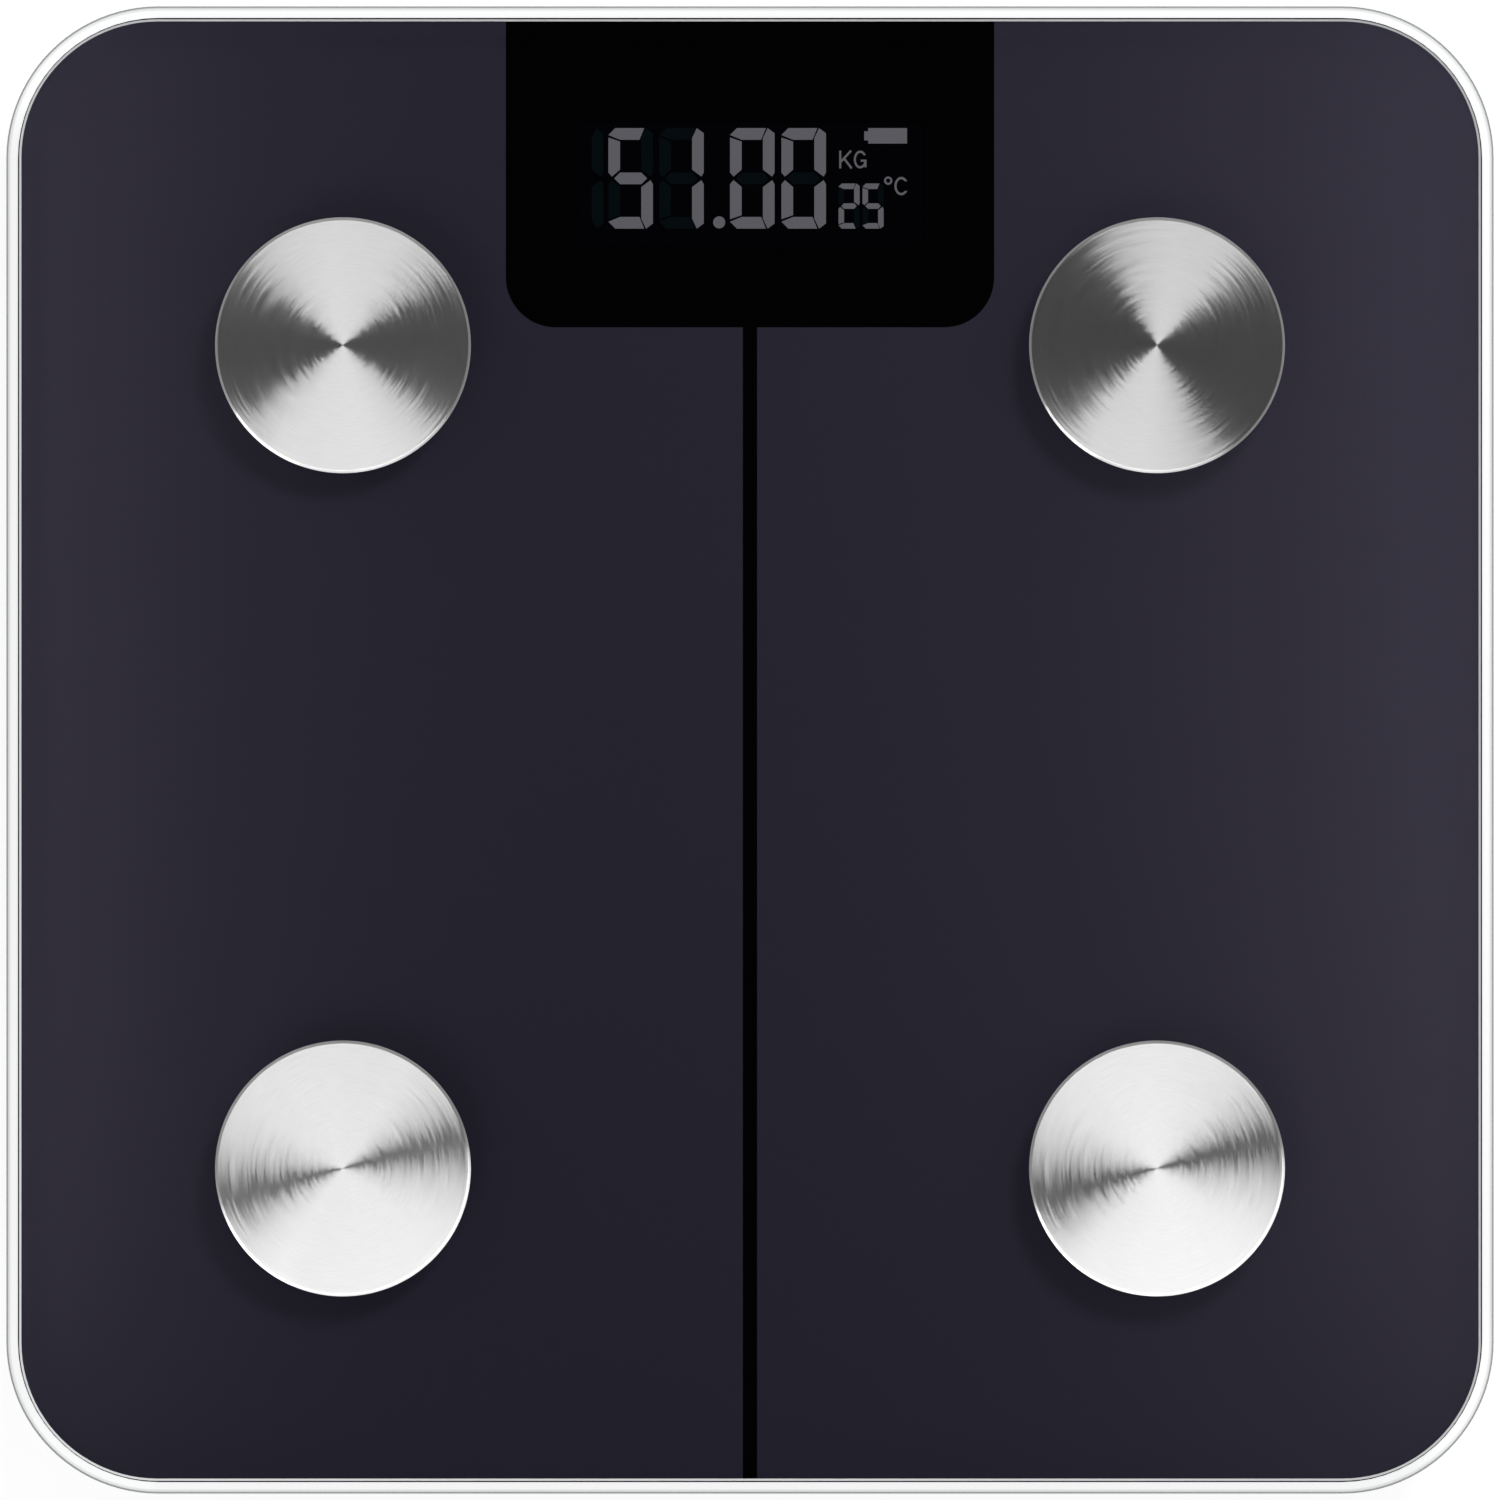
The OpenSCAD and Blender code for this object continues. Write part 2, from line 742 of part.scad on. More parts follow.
// One segment of a digit that is w wide and h high. s is its number in LIT's order.
module segment(s, w, h) {
  t = w*stroke_ratio;
  g = w*gap_ratio;
  k = w*cut_ratio;
  m = h/2;
  shapes = [
    [[0, h - k], [k, h], [w - k - g, h], [w - t - g, h - t], [t, h - t]],
    [[w - k, h], [w, h - k + g], [w, m + t/2], [w - t/5, m + g], [w - t, m + t*3/4],
      [w - t, h - t + g]],
    [[w - t/5, m - g], [w, m - t/2], [w, k - g], [w - k, 0], [w - t, t - g], [w - t, m - t*3/4]],
    [[k, 0], [0, k], [t, t], [w - t - g, t], [w - k - g, 0]],
    [[0, k + g*1.4], [0, m - t/2], [2*g, m - g], [t, m - t*3/4], [t, t + g]],
    [[0, h - k - g*1.4], [t, h - t - g], [t, m + t*3/4], [2*g, m + g], [0, m + t/2]],
    [[t/2, m], [t, m + t/2], [w - t, m + t/2], [w - t/2, m], [w - t, m - t/2], [t, m - t/2]]
  ];
  polygon(shapes[s]);
}

// The segments of a digit that are lit, or those that are not
module digit(value, w, h, lit) {
  for (s = [0:6]) if (LIT[value][s] == lit) segment(s, w, h);
}

// Straight stroke of a small letter
module stroke(from, to, thick = 0.36) {
  run = to - from;
  translate(from) rotate(atan2(run.y, run.x)) translate([0, -thick/2]) square([norm(run), thick]);
}

// Units beside the digits
module unit_marks() {
  translate([15.6, digit_low + 10.55]) {
    stroke([0.2, 0], [0.2, 3.1]);
    stroke([0.25, 1.1], [2.1, 3.1]);
    stroke([0.9, 1.7], [2.2, 0]);
  }
  translate([18.2, digit_low + 10.55]) {
    difference() {
      translate([1.1, 1.55]) scale([0.72, 1]) circle(1.55);
      translate([1.1, 1.55]) scale([0.66, 1]) circle(1.17);
      translate([1.2, 1.3]) square([2, 1]);
    }
    stroke([1.2, 1.35], [2.2, 1.35]);
    stroke([2.02, 0.2], [2.02, 1.4]);
  }
  translate([24.2, digit_low + 8.4]) difference() {
    circle(0.72);
    circle(0.38);
  }
  translate([26.5, digit_low + 7.45]) difference() {
    scale([0.76, 1]) circle(1.6);
    scale([0.7, 1]) circle(1.2);
    translate([0.3, -0.85]) square([2, 1.7]);
  }
}

module battery_mark() {
  translate([20.7, digit_low + 14.9]) square([6.8, 2.7]);
  translate([20, digit_low + 15.45]) square([0.8, 1.6]);
}

module lcd_segments_lit() color([0.8, 0.8, 0.85])
  translate([0, 0, lcd_top]) linear_extrude(segment_thick) {
    for (i = [0:3]) translate([digit_lefts[i], digit_low]) digit(digit_values[i], digit_w, digit_h, 1);
    for (i = [0:1]) translate([small_lefts[i], digit_low]) digit(small_values[i], small_w, small_h, 1);
    translate([-5.4, digit_low + 1.1]) circle(1.05);
    unit_marks();
    battery_mark();
  }

module lcd_segments_unlit() color([0.05, 0.09, 0.11])
  translate([0, 0, lcd_top]) linear_extrude(segment_thick) {
    for (i = [0:3]) translate([digit_lefts[i], digit_low]) digit(digit_values[i], digit_w, digit_h, 0);
    for (i = [0:1]) translate([small_lefts[i], digit_low]) digit(small_values[i], small_w, small_h, 0);
    // the half digit in front can only show a one
    translate([half_digit_left, digit_low]) for (s = [1, 2]) segment(s, digit_w, digit_h);
  }

// ---- Batteries ----

// Batteries lie side by side and every other one is turned round
function battery_y(row) = bay_y + row*battery_pitch;
function battery_turn(row) = row == 0 ? 180 : 0;

module battery(row) {
  low = -bay_w/2 + plate_thick + spring_l;
  translate([0, battery_y(row), battery_z]) rotate(battery_turn(row)) translate([low, 0, 0])
    rotate([0, 90, 0]) {
      color([0.2, 0.22, 0.25]) cylinder(r = battery_r, h = battery_l);
      color([0.8, 0.8, 0.8]) cylinder(r = nub_r, h = battery_l + nub_l);
    }
}

module battery_springs() color([0.78, 0.78, 0.78]) {
  wire_r = 0.35;
  turns = 4;
  steps = 12;
  rise = spring_l - 2*wire_r;
  coil = [for (i = [0:turns*steps]) let (along = i/(turns*steps), r = 3.6 - 1.4*along)
    [wire_r + rise*along, r*cos(360*i/steps), r*sin(360*i/steps)]];
  for (row = [-1:1]) translate([0, battery_y(row), battery_z]) rotate(battery_turn(row))
    translate([-bay_w/2 + plate_thick, 0, 0]) wire(coil, wire_r, 6);
}

// Plate across the ends of the batteries in rows from one to another, at x = 0 to its thickness
module end_plate(from, to) {
  reach = 4.6;
  block(0, plate_thick, battery_y(from) - reach, battery_y(to) + reach,
    battery_z - 4.2, battery_z + 4.2);
}

// Tab that carries a single plate's lead through the wall of the bay
module plate_tab(row) {
  tab_l = 4;
  block(-tab_l, 0.1, battery_y(row) - tab_w/2, battery_y(row) + tab_w/2, tab_z[0], tab_z[1]);
}

// Each end has a plate alone, with a tab for its lead, and one that joins two batteries
module battery_plates() color([0.82, 0.82, 0.8]) {
  translate([-bay_w/2, 0, 0]) {
    end_plate(-1, -1);
    plate_tab(-1);
    end_plate(0, 1);
  }
  translate([bay_w/2, 0, 0]) mirror([1, 0, 0]) {
    end_plate(1, 1);
    plate_tab(1);
    end_plate(-1, 0);
  }
}

// Turns the door's pieces about its trunnions
module door_turned() {
  pivot = [0, bay_y + door_pivot_y, door_pivot_z];
  translate(pivot) rotate([-door_open, 0, 0]) translate(-pivot) children();
}

module battery_door() color([0.11, 0.11, 0.12]) door_turned() translate([0, bay_y, 0]) {
  half = door_w/2;
  low = base_low;
  high = base_low + door_thick;
  grip_half = 9;
  grip_rear = door_rear - 3.8;
  grip_w = 0.8;
  grip_pitch = 2;
  grip_depth = 0.5;
  rib_x = 14;
  rib_half_w = 0.6;
  rib_half_l = 14;
  difference() {
    block(-half, half, door_pivot_y, door_rear, low, high);
    // grip grooves beside the latch
    for (i = [0:3]) translate([0, grip_rear - i*grip_pitch, 0])
      block(-grip_half, grip_half, -grip_w, 0, low - 1, low + grip_depth);
  }
  // round nose along the hinge edge, with a trunnion at each end
  translate([-half, door_pivot_y, door_pivot_z]) rotate([0, 90, 0])
    cylinder(r = door_thick/2, h = door_w);
  translate([-half - trunnion_l, door_pivot_y, door_pivot_z]) rotate([0, 90, 0])
    cylinder(r = trunnion_r, h = door_w + 2*trunnion_l);
  // ribs that keep the batteries from rattling
  for (side = [-1, 1]) translate([side*rib_x, 0, 0])
    block(-rib_half_w, rib_half_w, -rib_half_l, rib_half_l, high - 0.5, high + 0.35);
}

module battery_door_latch() color([0.13, 0.13, 0.14]) door_turned()
  translate([latch_w/2, bay_y, 0]) rotate([0, -90, 0]) linear_extrude(latch_w) {
    door_top = base_low + door_thick;
    inner_leg = door_rear - latch_thick;
    outer_leg = notch_rear - latch_thick - 1.1;
    outer_back = outer_leg + latch_thick;
    catch_low = base_floor + 0.05;
    catch_top = catch_low + 1.4;
    catch_tip = [catch_low + 0.3, notch_rear + 0.9];
    tab_low = base_low + 0.2;
    tab_top = base_low + 1;
    tab_rear = notch_rear - 0.4;
    // up from the door, over, and down to the thumb tab
    polygon([
      [door_top, inner_leg], [latch_high, inner_leg], [latch_high, outer_back],
      [catch_top, outer_back], catch_tip, [catch_low, catch_tip.y], [catch_low, outer_back],
      [tab_top, outer_back], [tab_top, tab_rear], [tab_low, tab_rear], [tab_low, outer_leg],
      [latch_high - latch_thick, outer_leg], [latch_high - latch_thick, door_rear],
      [door_top, door_rear]
    ]);
  }

// ---- Unit button ----

module unit_button() color([0.35, 0.35, 0.36]) {
  r = button_d/2;
  edge = 0.5;
  face = base_low + 0.2;
  flange_low = base_floor + 0.1;
  flange_top = base_floor + 0.9;
  nose_r = 2.2;
  translate([button_x, button_y, 0]) rotate_extrude() polygon([
    [0, face], [r - edge, face], [r, face + edge], [r, flange_low], [flange_r, flange_low],
    [flange_r, flange_top], [nose_r, flange_top], [nose_r, button_top], [0, button_top]
  ]);
}

module switch_plunger() color([0.6, 0.55, 0.3]) translate([button_x, button_y, 0])
  ring(plunger_r, 0, button_top, plunger_top);

// ---- Leads ----

// Each route is for the right-hand side. The left-hand one is its mirror image.
f = foot_at;
b = lead_end_y;
front_foot_route = [
  [f, 5.6 - f, 8.7], [f, 8.5 - f, 9.3], [f, 10 - f, 11.2], [f - 0.3, 10.2 - f, 13],
  [f - 2.2, 11 - f, 14.7], [f - 8, 14 - f, 14.9], [f - 7, 32 - f, 14.9], [f - 12, 64 - f, 14.9],
  [62, 20, 14.9], [46, 46, 14.9], [31, b - 13, 14.8], [27, b - 7, 14.2], [27, b - 3, 13.7],
  [27, b, socket_z]
];
rear_foot_route = [
  [f, f - 5.6, 8.7], [f, f - 8.5, 9.3], [f, f - 10, 11.2], [f - 0.3, f - 10.2, 13],
  [f - 2.2, f - 11, 14.7], [f - 8, f - 14, 14.9], [f - 14, f - 34, 14.9], [52, b - 18, 14.9],
  [38, b - 13, 14.8], [35, b - 7, 14.2], [35, b - 3, 13.7], [35, b, socket_z]
];
rear_electrode_route = [
  [electrode_x - barrel_end, electrode_rear, barrel_z], [58, electrode_rear - 1, 17.3],
  [40, b - 11, 17.2], [26, b - 12, 16.9], [20.2, b - 8, 15.2], [19.2, b - 4, 13.9],
  [19.2, b, socket_z]
];
front_electrode_route = [
  [electrode_x, barrel_end - electrode_front, barrel_z], [electrode_x - 1, -54, 17.2],
  [62, -10, 17], [44, 38, 17], [27, b - 17, 16.8], [18, b - 11, 15.4], [16.8, b - 4, 13.9],
  [16.8, b, socket_z]
];
rear_battery_route = [
  [30, battery_y(1), 12.25], [33, battery_y(1) + 1, 13], [35, 26, 14.4], [33, 46, 14.9],
  [18, b - 17, 14.7], [4, b - 9, 14.2], [2, b - 4, 13.8], [2, b, socket_z]
];
front_battery_route = [
  [-30, battery_y(-1), 12.25], [-33, battery_y(-1) + 1, 13], [-35, 4, 14.4], [-35, 28, 14.9],
  [-32, 46, 14.9], [-18, b - 17, 14.7], [-4, b - 9, 14.2], [-2, b - 4, 13.8], [-2, b, socket_z]
];
function mirrored(route) = [for (p = route) [-p.x, p.y, p.z]];
function sided(route, side) = side < 0 ? mirrored(route) : route;

module foot_lead(side, end) color([0.55, 0.1, 0.1])
  wire(smooth(sided(end < 0 ? front_foot_route : rear_foot_route, side), 4), foot_lead_r);

module electrode_leads() color([0.15, 0.15, 0.15])
  for (side = [-1, 1], route = [rear_electrode_route, front_electrode_route])
    wire(smooth(sided(route, side), 4), thin_lead_r);

module battery_leads() color([0.7, 0.1, 0.1])
  for (route = [rear_battery_route, front_battery_route]) wire(smooth(route, 4), thin_lead_r);

// ---- Nodes ----

glass_platform();
back_print();
window_print();
centre_stripe();
electrode(ELECTRODES[0]);  // electrode_rear_left
electrode(ELECTRODES[1]);  // electrode_rear_right
electrode(ELECTRODES[2]);  // electrode_front_left
electrode(ELECTRODES[3]);  // electrode_front_right
electrode_adhesive();
electrode_terminals();
electrode_nuts();
electrode_leads();
bonding_tape();
base_shell();
rating_label();
main_board();
board_components();
radio_module();
thermistor();
lead_sockets();
board_screws();
tact_switch();
lcd_panel();
lcd_segments_lit();
lcd_segments_unlit();
lcd_pins();
backlight_panel();
display_frame();
battery(-1);  // battery_front
battery(0);  // battery_middle
battery(1);  // battery_rear
battery_springs();
battery_plates();
battery_leads();
battery_door();
battery_door_latch();
unit_button();
switch_plunger();
at_foot(-1, 1) foot_cup();  // foot_cup_rear_left
at_foot(1, 1) foot_cup();  // foot_cup_rear_right
at_foot(-1, -1) foot_cup();  // foot_cup_front_left
at_foot(1, -1) foot_cup();  // foot_cup_front_right
at_foot(-1, 1) foot_pad();  // foot_pad_rear_left
at_foot(1, 1) foot_pad();  // foot_pad_rear_right
at_foot(-1, -1) foot_pad();  // foot_pad_front_left
at_foot(1, -1) foot_pad();  // foot_pad_front_right
at_foot(-1, 1) load_cell();  // load_cell_rear_left
at_foot(1, 1) load_cell();  // load_cell_rear_right
at_foot(-1, -1) load_cell();  // load_cell_front_left
at_foot(1, -1) load_cell();  // load_cell_front_right
at_foot(-1, 1) strain_gauge();  // strain_gauge_rear_left
at_foot(1, 1) strain_gauge();  // strain_gauge_rear_right
at_foot(-1, -1) strain_gauge();  // strain_gauge_front_left
at_foot(1, -1) strain_gauge();  // strain_gauge_front_right
foot_lead(-1, 1);  // foot_lead_rear_left
foot_lead(1, 1);  // foot_lead_rear_right
foot_lead(-1, -1);  // foot_lead_front_left
foot_lead(1, -1);  // foot_lead_front_right
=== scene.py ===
"""Looks of a digital bathroom scale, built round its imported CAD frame. Everything is in metres."""

import json
import math

import bmesh
import bpy
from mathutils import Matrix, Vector


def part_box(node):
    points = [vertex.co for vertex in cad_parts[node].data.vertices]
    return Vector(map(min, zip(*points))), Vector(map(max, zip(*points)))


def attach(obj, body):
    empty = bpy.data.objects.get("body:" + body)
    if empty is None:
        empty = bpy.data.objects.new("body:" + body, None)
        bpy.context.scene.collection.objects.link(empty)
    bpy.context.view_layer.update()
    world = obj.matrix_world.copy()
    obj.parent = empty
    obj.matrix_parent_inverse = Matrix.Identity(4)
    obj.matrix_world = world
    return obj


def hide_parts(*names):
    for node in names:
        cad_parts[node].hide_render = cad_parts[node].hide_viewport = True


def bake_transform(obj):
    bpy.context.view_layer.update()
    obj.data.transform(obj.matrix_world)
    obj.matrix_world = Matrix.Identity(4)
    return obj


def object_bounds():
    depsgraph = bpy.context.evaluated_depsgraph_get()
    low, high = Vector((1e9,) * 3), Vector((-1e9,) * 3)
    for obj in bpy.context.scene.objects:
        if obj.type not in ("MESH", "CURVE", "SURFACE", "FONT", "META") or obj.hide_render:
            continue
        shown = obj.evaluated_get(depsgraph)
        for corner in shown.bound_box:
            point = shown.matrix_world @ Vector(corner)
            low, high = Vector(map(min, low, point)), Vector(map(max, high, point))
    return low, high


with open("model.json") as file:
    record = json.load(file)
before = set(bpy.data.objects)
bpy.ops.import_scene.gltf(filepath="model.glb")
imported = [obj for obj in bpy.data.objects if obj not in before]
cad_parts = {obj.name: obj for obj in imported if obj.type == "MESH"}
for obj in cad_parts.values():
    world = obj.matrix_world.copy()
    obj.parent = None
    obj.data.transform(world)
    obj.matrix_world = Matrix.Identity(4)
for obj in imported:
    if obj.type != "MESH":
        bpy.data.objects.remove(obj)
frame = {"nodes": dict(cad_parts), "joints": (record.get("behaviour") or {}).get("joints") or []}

CAD_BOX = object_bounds()
MM = 0.001
CORNERS = ("rear_left", "rear_right", "front_left", "front_right")
FEET = {corner: f"foot_{corner}" for corner in CORNERS}

UP = Vector((0, 0, 1))
TOUCHING = 1e-6                     # points closer than this are one point
SHARP = math.radians(35)            # faces that meet at more than this keep a crisp edge

# Glass
GLASS_CORNER = 26.5 * MM            # radius of its corners
GLASS_BEVEL = 2.5 * MM              # from its edge to its flat top
GLASS_SHOULDER = 0.4 * MM           # from its edge to the start of the bevel
STUD_HOLE = 2 * MM                  # radius
FLAT_GLOSS = (0.0, 0.03)            # least and most roughness of its flat faces
EDGE_GLOSS = (0.06, 0.1)            # the same for its ground and polished edge

# Camera and light table
CAMERA_HEIGHT = 2.4                 # above the glass
FRAME_MARGIN = 1.008                # width of the view, in widths of the glass
TABLE_SIZE = 60
TABLE_GLOW = 0.78

# Soft boxes at this height over the electrodes: heading in degrees, gap before the box starts,
# size, radiance, and whether the box's corner points back at the electrode.
BOX_HEIGHT = 0.9
WIDE, SQUARE = (3.0, 1.5), (1.2, 1.2)
SOFT_BOXES = {
    "rear_left": [(-107, 0.03, SQUARE, 1.8, True), (-79, 0.03, SQUARE, 1.8, True)],
    "rear_right": [(-96, 0.03, SQUARE, 1.8, True)],
    "front_left": [(-76.5, 0.11, WIDE, 2.35, False)],
    "front_right": [(-76.5, 0.15, WIDE, 2.7, False)],
}


# ---- Shape helpers ----

def rounded(corners, steps=5):
    """Points of an outline. Each corner is (x, y), or (x, y, radius) where it is rounded."""
    points = []
    for i, (x, y, *radius) in enumerate(corners):
        here = Vector((x, y))
        if not radius:
            points.append(here)
            continue
        back = (Vector(corners[i - 1][:2]) - here).normalized()
        on = (Vector(corners[(i + 1) % len(corners)][:2]) - here).normalized()
        half_angle = back.angle(on) / 2
        centre = here + (back + on).normalized() * radius[0] / math.sin(half_angle)
        reach = radius[0] / math.tan(half_angle)
        start = (here + back * reach - centre).normalized()
        end = (here + on * reach - centre).normalized()
        for step in range(steps + 1):
            points.append(centre + start.slerp(end, step / steps).normalized() * radius[0])
    return points


def square_ring(half, corner, z, steps=24):
    """Points round a square with round corners, centred on the Z axis."""
    ring = []
    for quarter in range(4):
        middle = math.pi / 2 * (quarter + 0.5)
        reach = (half - corner) * math.sqrt(2)
        for step in range(steps + 1):
            angle = math.pi / 2 * (quarter + step / steps)
            x = reach * math.cos(middle) + corner * math.cos(angle)
            y = reach * math.sin(middle) + corner * math.sin(angle)
            ring.append(Vector((x, y, z)))
    return ring


def circle_ring(centre, radius, z, steps):
    """Points round a level circle."""
    ring = []
    for step in range(steps):
        angle = 2 * math.pi * step / steps
        x = centre.x + radius * math.cos(angle)
        y = centre.y + radius * math.sin(angle)
        ring.append(Vector((x, y, z)))
    return ring


def loft(bm, rings, caps=True):
    """Joins closed rings of points, each to the next. Returns the rings' vertices."""
    rows = [[bm.verts.new(point) for point in ring] for ring in rings]
    count = len(rings[0])
    for low, high in zip(rows, rows[1:]):
        for i in range(count):
            bm.faces.new((low[i], low[(i + 1) % count], high[(i + 1) % count], high[i]))
    if caps:
        bm.faces.new(rows[0][::-1])
        bm.faces.new(rows[-1])
    return rows


def lathe(bm, profile, centre, steps=96, axis="Z"):
    """Turns a profile of (radius, height) points, which starts and ends on the axis."""
    def placed(ring):
        if axis == "Z":
            return ring
        return [centre + Vector((p.z - centre.z, p.x - centre.x, p.y - centre.y)) for p in ring]

    heights = [centre.z + height for radius, height in profile]
    rings = [
        placed(circle_ring(centre, radius, z, steps))
        for (radius, height), z in zip(profile, heights)
        if radius > 0
    ]
    rows = loft(bm, rings, caps=False)
    for row, z in ((rows[0], heights[0]), (rows[-1], heights[-1])):
        pole = bm.verts.new(placed([Vector((centre.x, centre.y, z))])[0])
        for i in range(steps):
            bm.faces.new((row[i], row[(i + 1) % steps], pole))


def extrusion(bm, outline, low_x, high_x):
    """Raises an outline of (y, z) points along X."""
    loft(bm, [[Vector((x, y, z)) for y, z in outline] for x in (low_x, high_x)])


def block(bm, low, high):
    """A box between two corners."""
    outline = [(low.y, low.z), (high.y, low.z), (high.y, high.z), (low.y, high.z)]
    extrusion(bm, outline, low.x, high.x)


def carved(bm, cutter):
    """Cuts one closed mesh out of another, and returns what is left."""
    solids = []
    for source in (bm, cutter):
        bmesh.ops.recalc_face_normals(source, faces=source.faces)
        mesh = bpy.data.meshes.new("carving")
        source.to_mesh(mesh)
        source.free()
        solids.append(bpy.data.objects.new("carving", mesh))
        bpy.context.collection.objects.link(solids[-1])
    boolean = solids[0].modifiers.new("cut", "BOOLEAN")
    boolean.object = solids[1]
    boolean.solver = "EXACT"
    left = bmesh.new()
    left.from_object(solids[0], bpy.context.evaluated_depsgraph_get())
    for solid in solids:
        bpy.data.meshes.remove(solid.data)
    return left


def middle_of(node):
    """The middle of a CAD node's underside."""
    low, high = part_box(node)
    return Vector(((low.x + high.x) / 2, (low.y + high.y) / 2, low.z))


def finish_edges(piece, bevel):
    """Rounds a piece's edges and shades it so that its flat faces stay flat."""
    if bevel:
        edges = piece.modifiers.new("round edges", "BEVEL")
        edges.width = bevel
        edges.segments = 3
        edges.limit_method = "ANGLE"
        edges.angle_limit = SHARP
        edges.miter_outer = "MITER_ARC"
    piece.modifiers.new("flat faces", "WEIGHTED_NORMAL").keep_sharp = True


def add_piece(name, bm, materials, body, node, bevel=0):
    """Makes an object of the mesh, which rides on a body and stands for a CAD node."""
    bmesh.ops.remove_doubles(bm, verts=bm.verts, dist=TOUCHING)
    bmesh.ops.recalc_face_normals(bm, faces=bm.faces)
    mesh = bpy.data.meshes.new(name)
    bm.to_mesh(mesh)
    bm.free()
    for material in materials:
        mesh.materials.append(material)
    mesh.shade_smooth()
    if not bevel:
        mesh.set_sharp_from_angle(angle=SHARP)
    piece = bpy.data.objects.new(name, mesh)
    bpy.context.collection.objects.link(piece)
    finish_edges(piece, bevel)
    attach(piece, body)
    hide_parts(node)
    return piece


# ---- Material helpers ----

class Nodes:
    """The node tree of a material or a world under construction."""

    def __init__(self, owner):
        owner.use_nodes = True
        self.tree = owner.node_tree
        self.tree.nodes.clear()
        self.coordinates = self.add("ShaderNodeTexCoord", {}).outputs

    def add(self, kind, inputs, **settings):
        """Adds a node. An input's value is a constant or another node's output."""
        node = self.tree.nodes.new(kind)
        for key, value in settings.items():
            setattr(node, key, value)
        for key, value in inputs.items():
            if isinstance(value, bpy.types.NodeSocket):
                self.tree.links.new(value, node.inputs[key])
            else:
                node.inputs[key].default_value = value
        return node

    def maths(self, operation, *values):
        """Arithmetic on constants and other nodes' outputs."""
        inputs = dict(enumerate(values))
        return self.add("ShaderNodeMath", inputs, operation=operation).outputs[0]

    def parts(self, vector):
        """The X, Y and Z of a vector."""
        return self.add("ShaderNodeSeparateXYZ", {"Vector": vector}).outputs


class Finish(Nodes):
    """A material under construction."""

    def __init__(self, name):
        self.material = bpy.data.materials.new(name)
        super().__init__(self.material)

    def place(self, stretch=(1, 1, 1)):
        """Object coordinates, scaled along each axis."""
        mapping = {"Vector": self.coordinates["Object"], "Scale": stretch}
        return self.add("ShaderNodeMapping", mapping).outputs["Vector"]

    def vector_maths(self, operation, *values, **named):
        """A vector node's outputs. Its inputs are in their order, or named."""
        inputs = {**dict(enumerate(values)), **named}
        return self.add("ShaderNodeVectorMath", inputs, operation=operation).outputs

    def cells(self, size):
        """Distance from the middle of the nearest of many cells of about this size."""
        inputs = {"Vector": self.place(), "Scale": 1 / size}
        return self.add("ShaderNodeTexVoronoi", inputs).outputs["Distance"]

    def mix(self, share, first, second):
        """Goes from one colour to the second as the share rises from 0 to 1."""
        factor, colour_a, colour_b, result = "Factor", 6, 7, 2
        inputs = {factor: share, colour_a: first, colour_b: (*second, 1)}
        return self.add("ShaderNodeMix", inputs, data_type="RGBA").outputs[result]

    def noise(self, size, detail=2, stretch=(1, 1, 1), vector=None):
        """Noise whose features are about this size, in metres."""
        inputs = {"Vector": vector or self.place(stretch), "Scale": 1 / size, "Detail": detail}
        return self.add("ShaderNodeTexNoise", inputs).outputs["Fac"]

    def ramp(self, value, *stops):
        """Takes a value through colours, each given as (place, colour)."""
        node = self.add("ShaderNodeValToRGB", {"Fac": value})
        elements = node.color_ramp.elements
        for element, (place, colour) in zip(elements, (stops[0], stops[-1])):
            element.position = place
            element.color = (*colour, 1)
        for place, colour in stops[1:-1]:
            elements.new(place).color = (*colour, 1)
        return node.outputs["Color"]

    def shades(self, value, colour, spread):
        """One colour, made darker and lighter by a share of itself."""
        low, high = 0.3, 0.7     # noise seldom passes these
        dark = [c * (1 - spread) for c in colour]
        light = [c * (1 + spread) for c in colour]
        return self.ramp(value, (low, dark), (high, light))

    def spread(self, value, low, high):
        """Takes a value from 0 to 1 over to another range."""
        inputs = {"Value": value, "To Min": low, "To Max": high}
        return self.add("ShaderNodeMapRange", inputs).outputs["Result"]

    def bump(self, height, depth, strength=1.0, normal=None):
        """A normal for relief of this depth, in metres."""
        inputs = {"Height": height, "Distance": depth, "Strength": strength}
        if normal:
            inputs["Normal"] = normal
        return self.add("ShaderNodeBump", inputs).outputs["Normal"]

    def soft_edge(self, radius):
        """A normal that rounds the sharp edges of a CAD node."""
        return self.add("ShaderNodeBevel", {"Radius": radius}, samples=4).outputs["Normal"]

    def surface(self, shader):
        """Closes the material with a shader."""
        output = self.add("ShaderNodeOutputMaterial", {"Surface": shader})
        output.is_active_output = True
        return self.material

    def principled(self, **inputs):
        """Closes the material with a principled shader. Its sockets are named in small letters."""
        sockets = {
            key.replace("_", " ").title().replace("Ior", "IOR"): value
            for key, value in inputs.items()
        }
        for key in ("Base Color", "Emission Color"):
            if key in sockets and not isinstance(sockets[key], bpy.types.NodeSocket):
                sockets[key] = (*sockets[key], 1)
        return self.surface(self.add("ShaderNodeBsdfPrincipled", sockets).outputs["BSDF"])


# ---- Glass and print ----

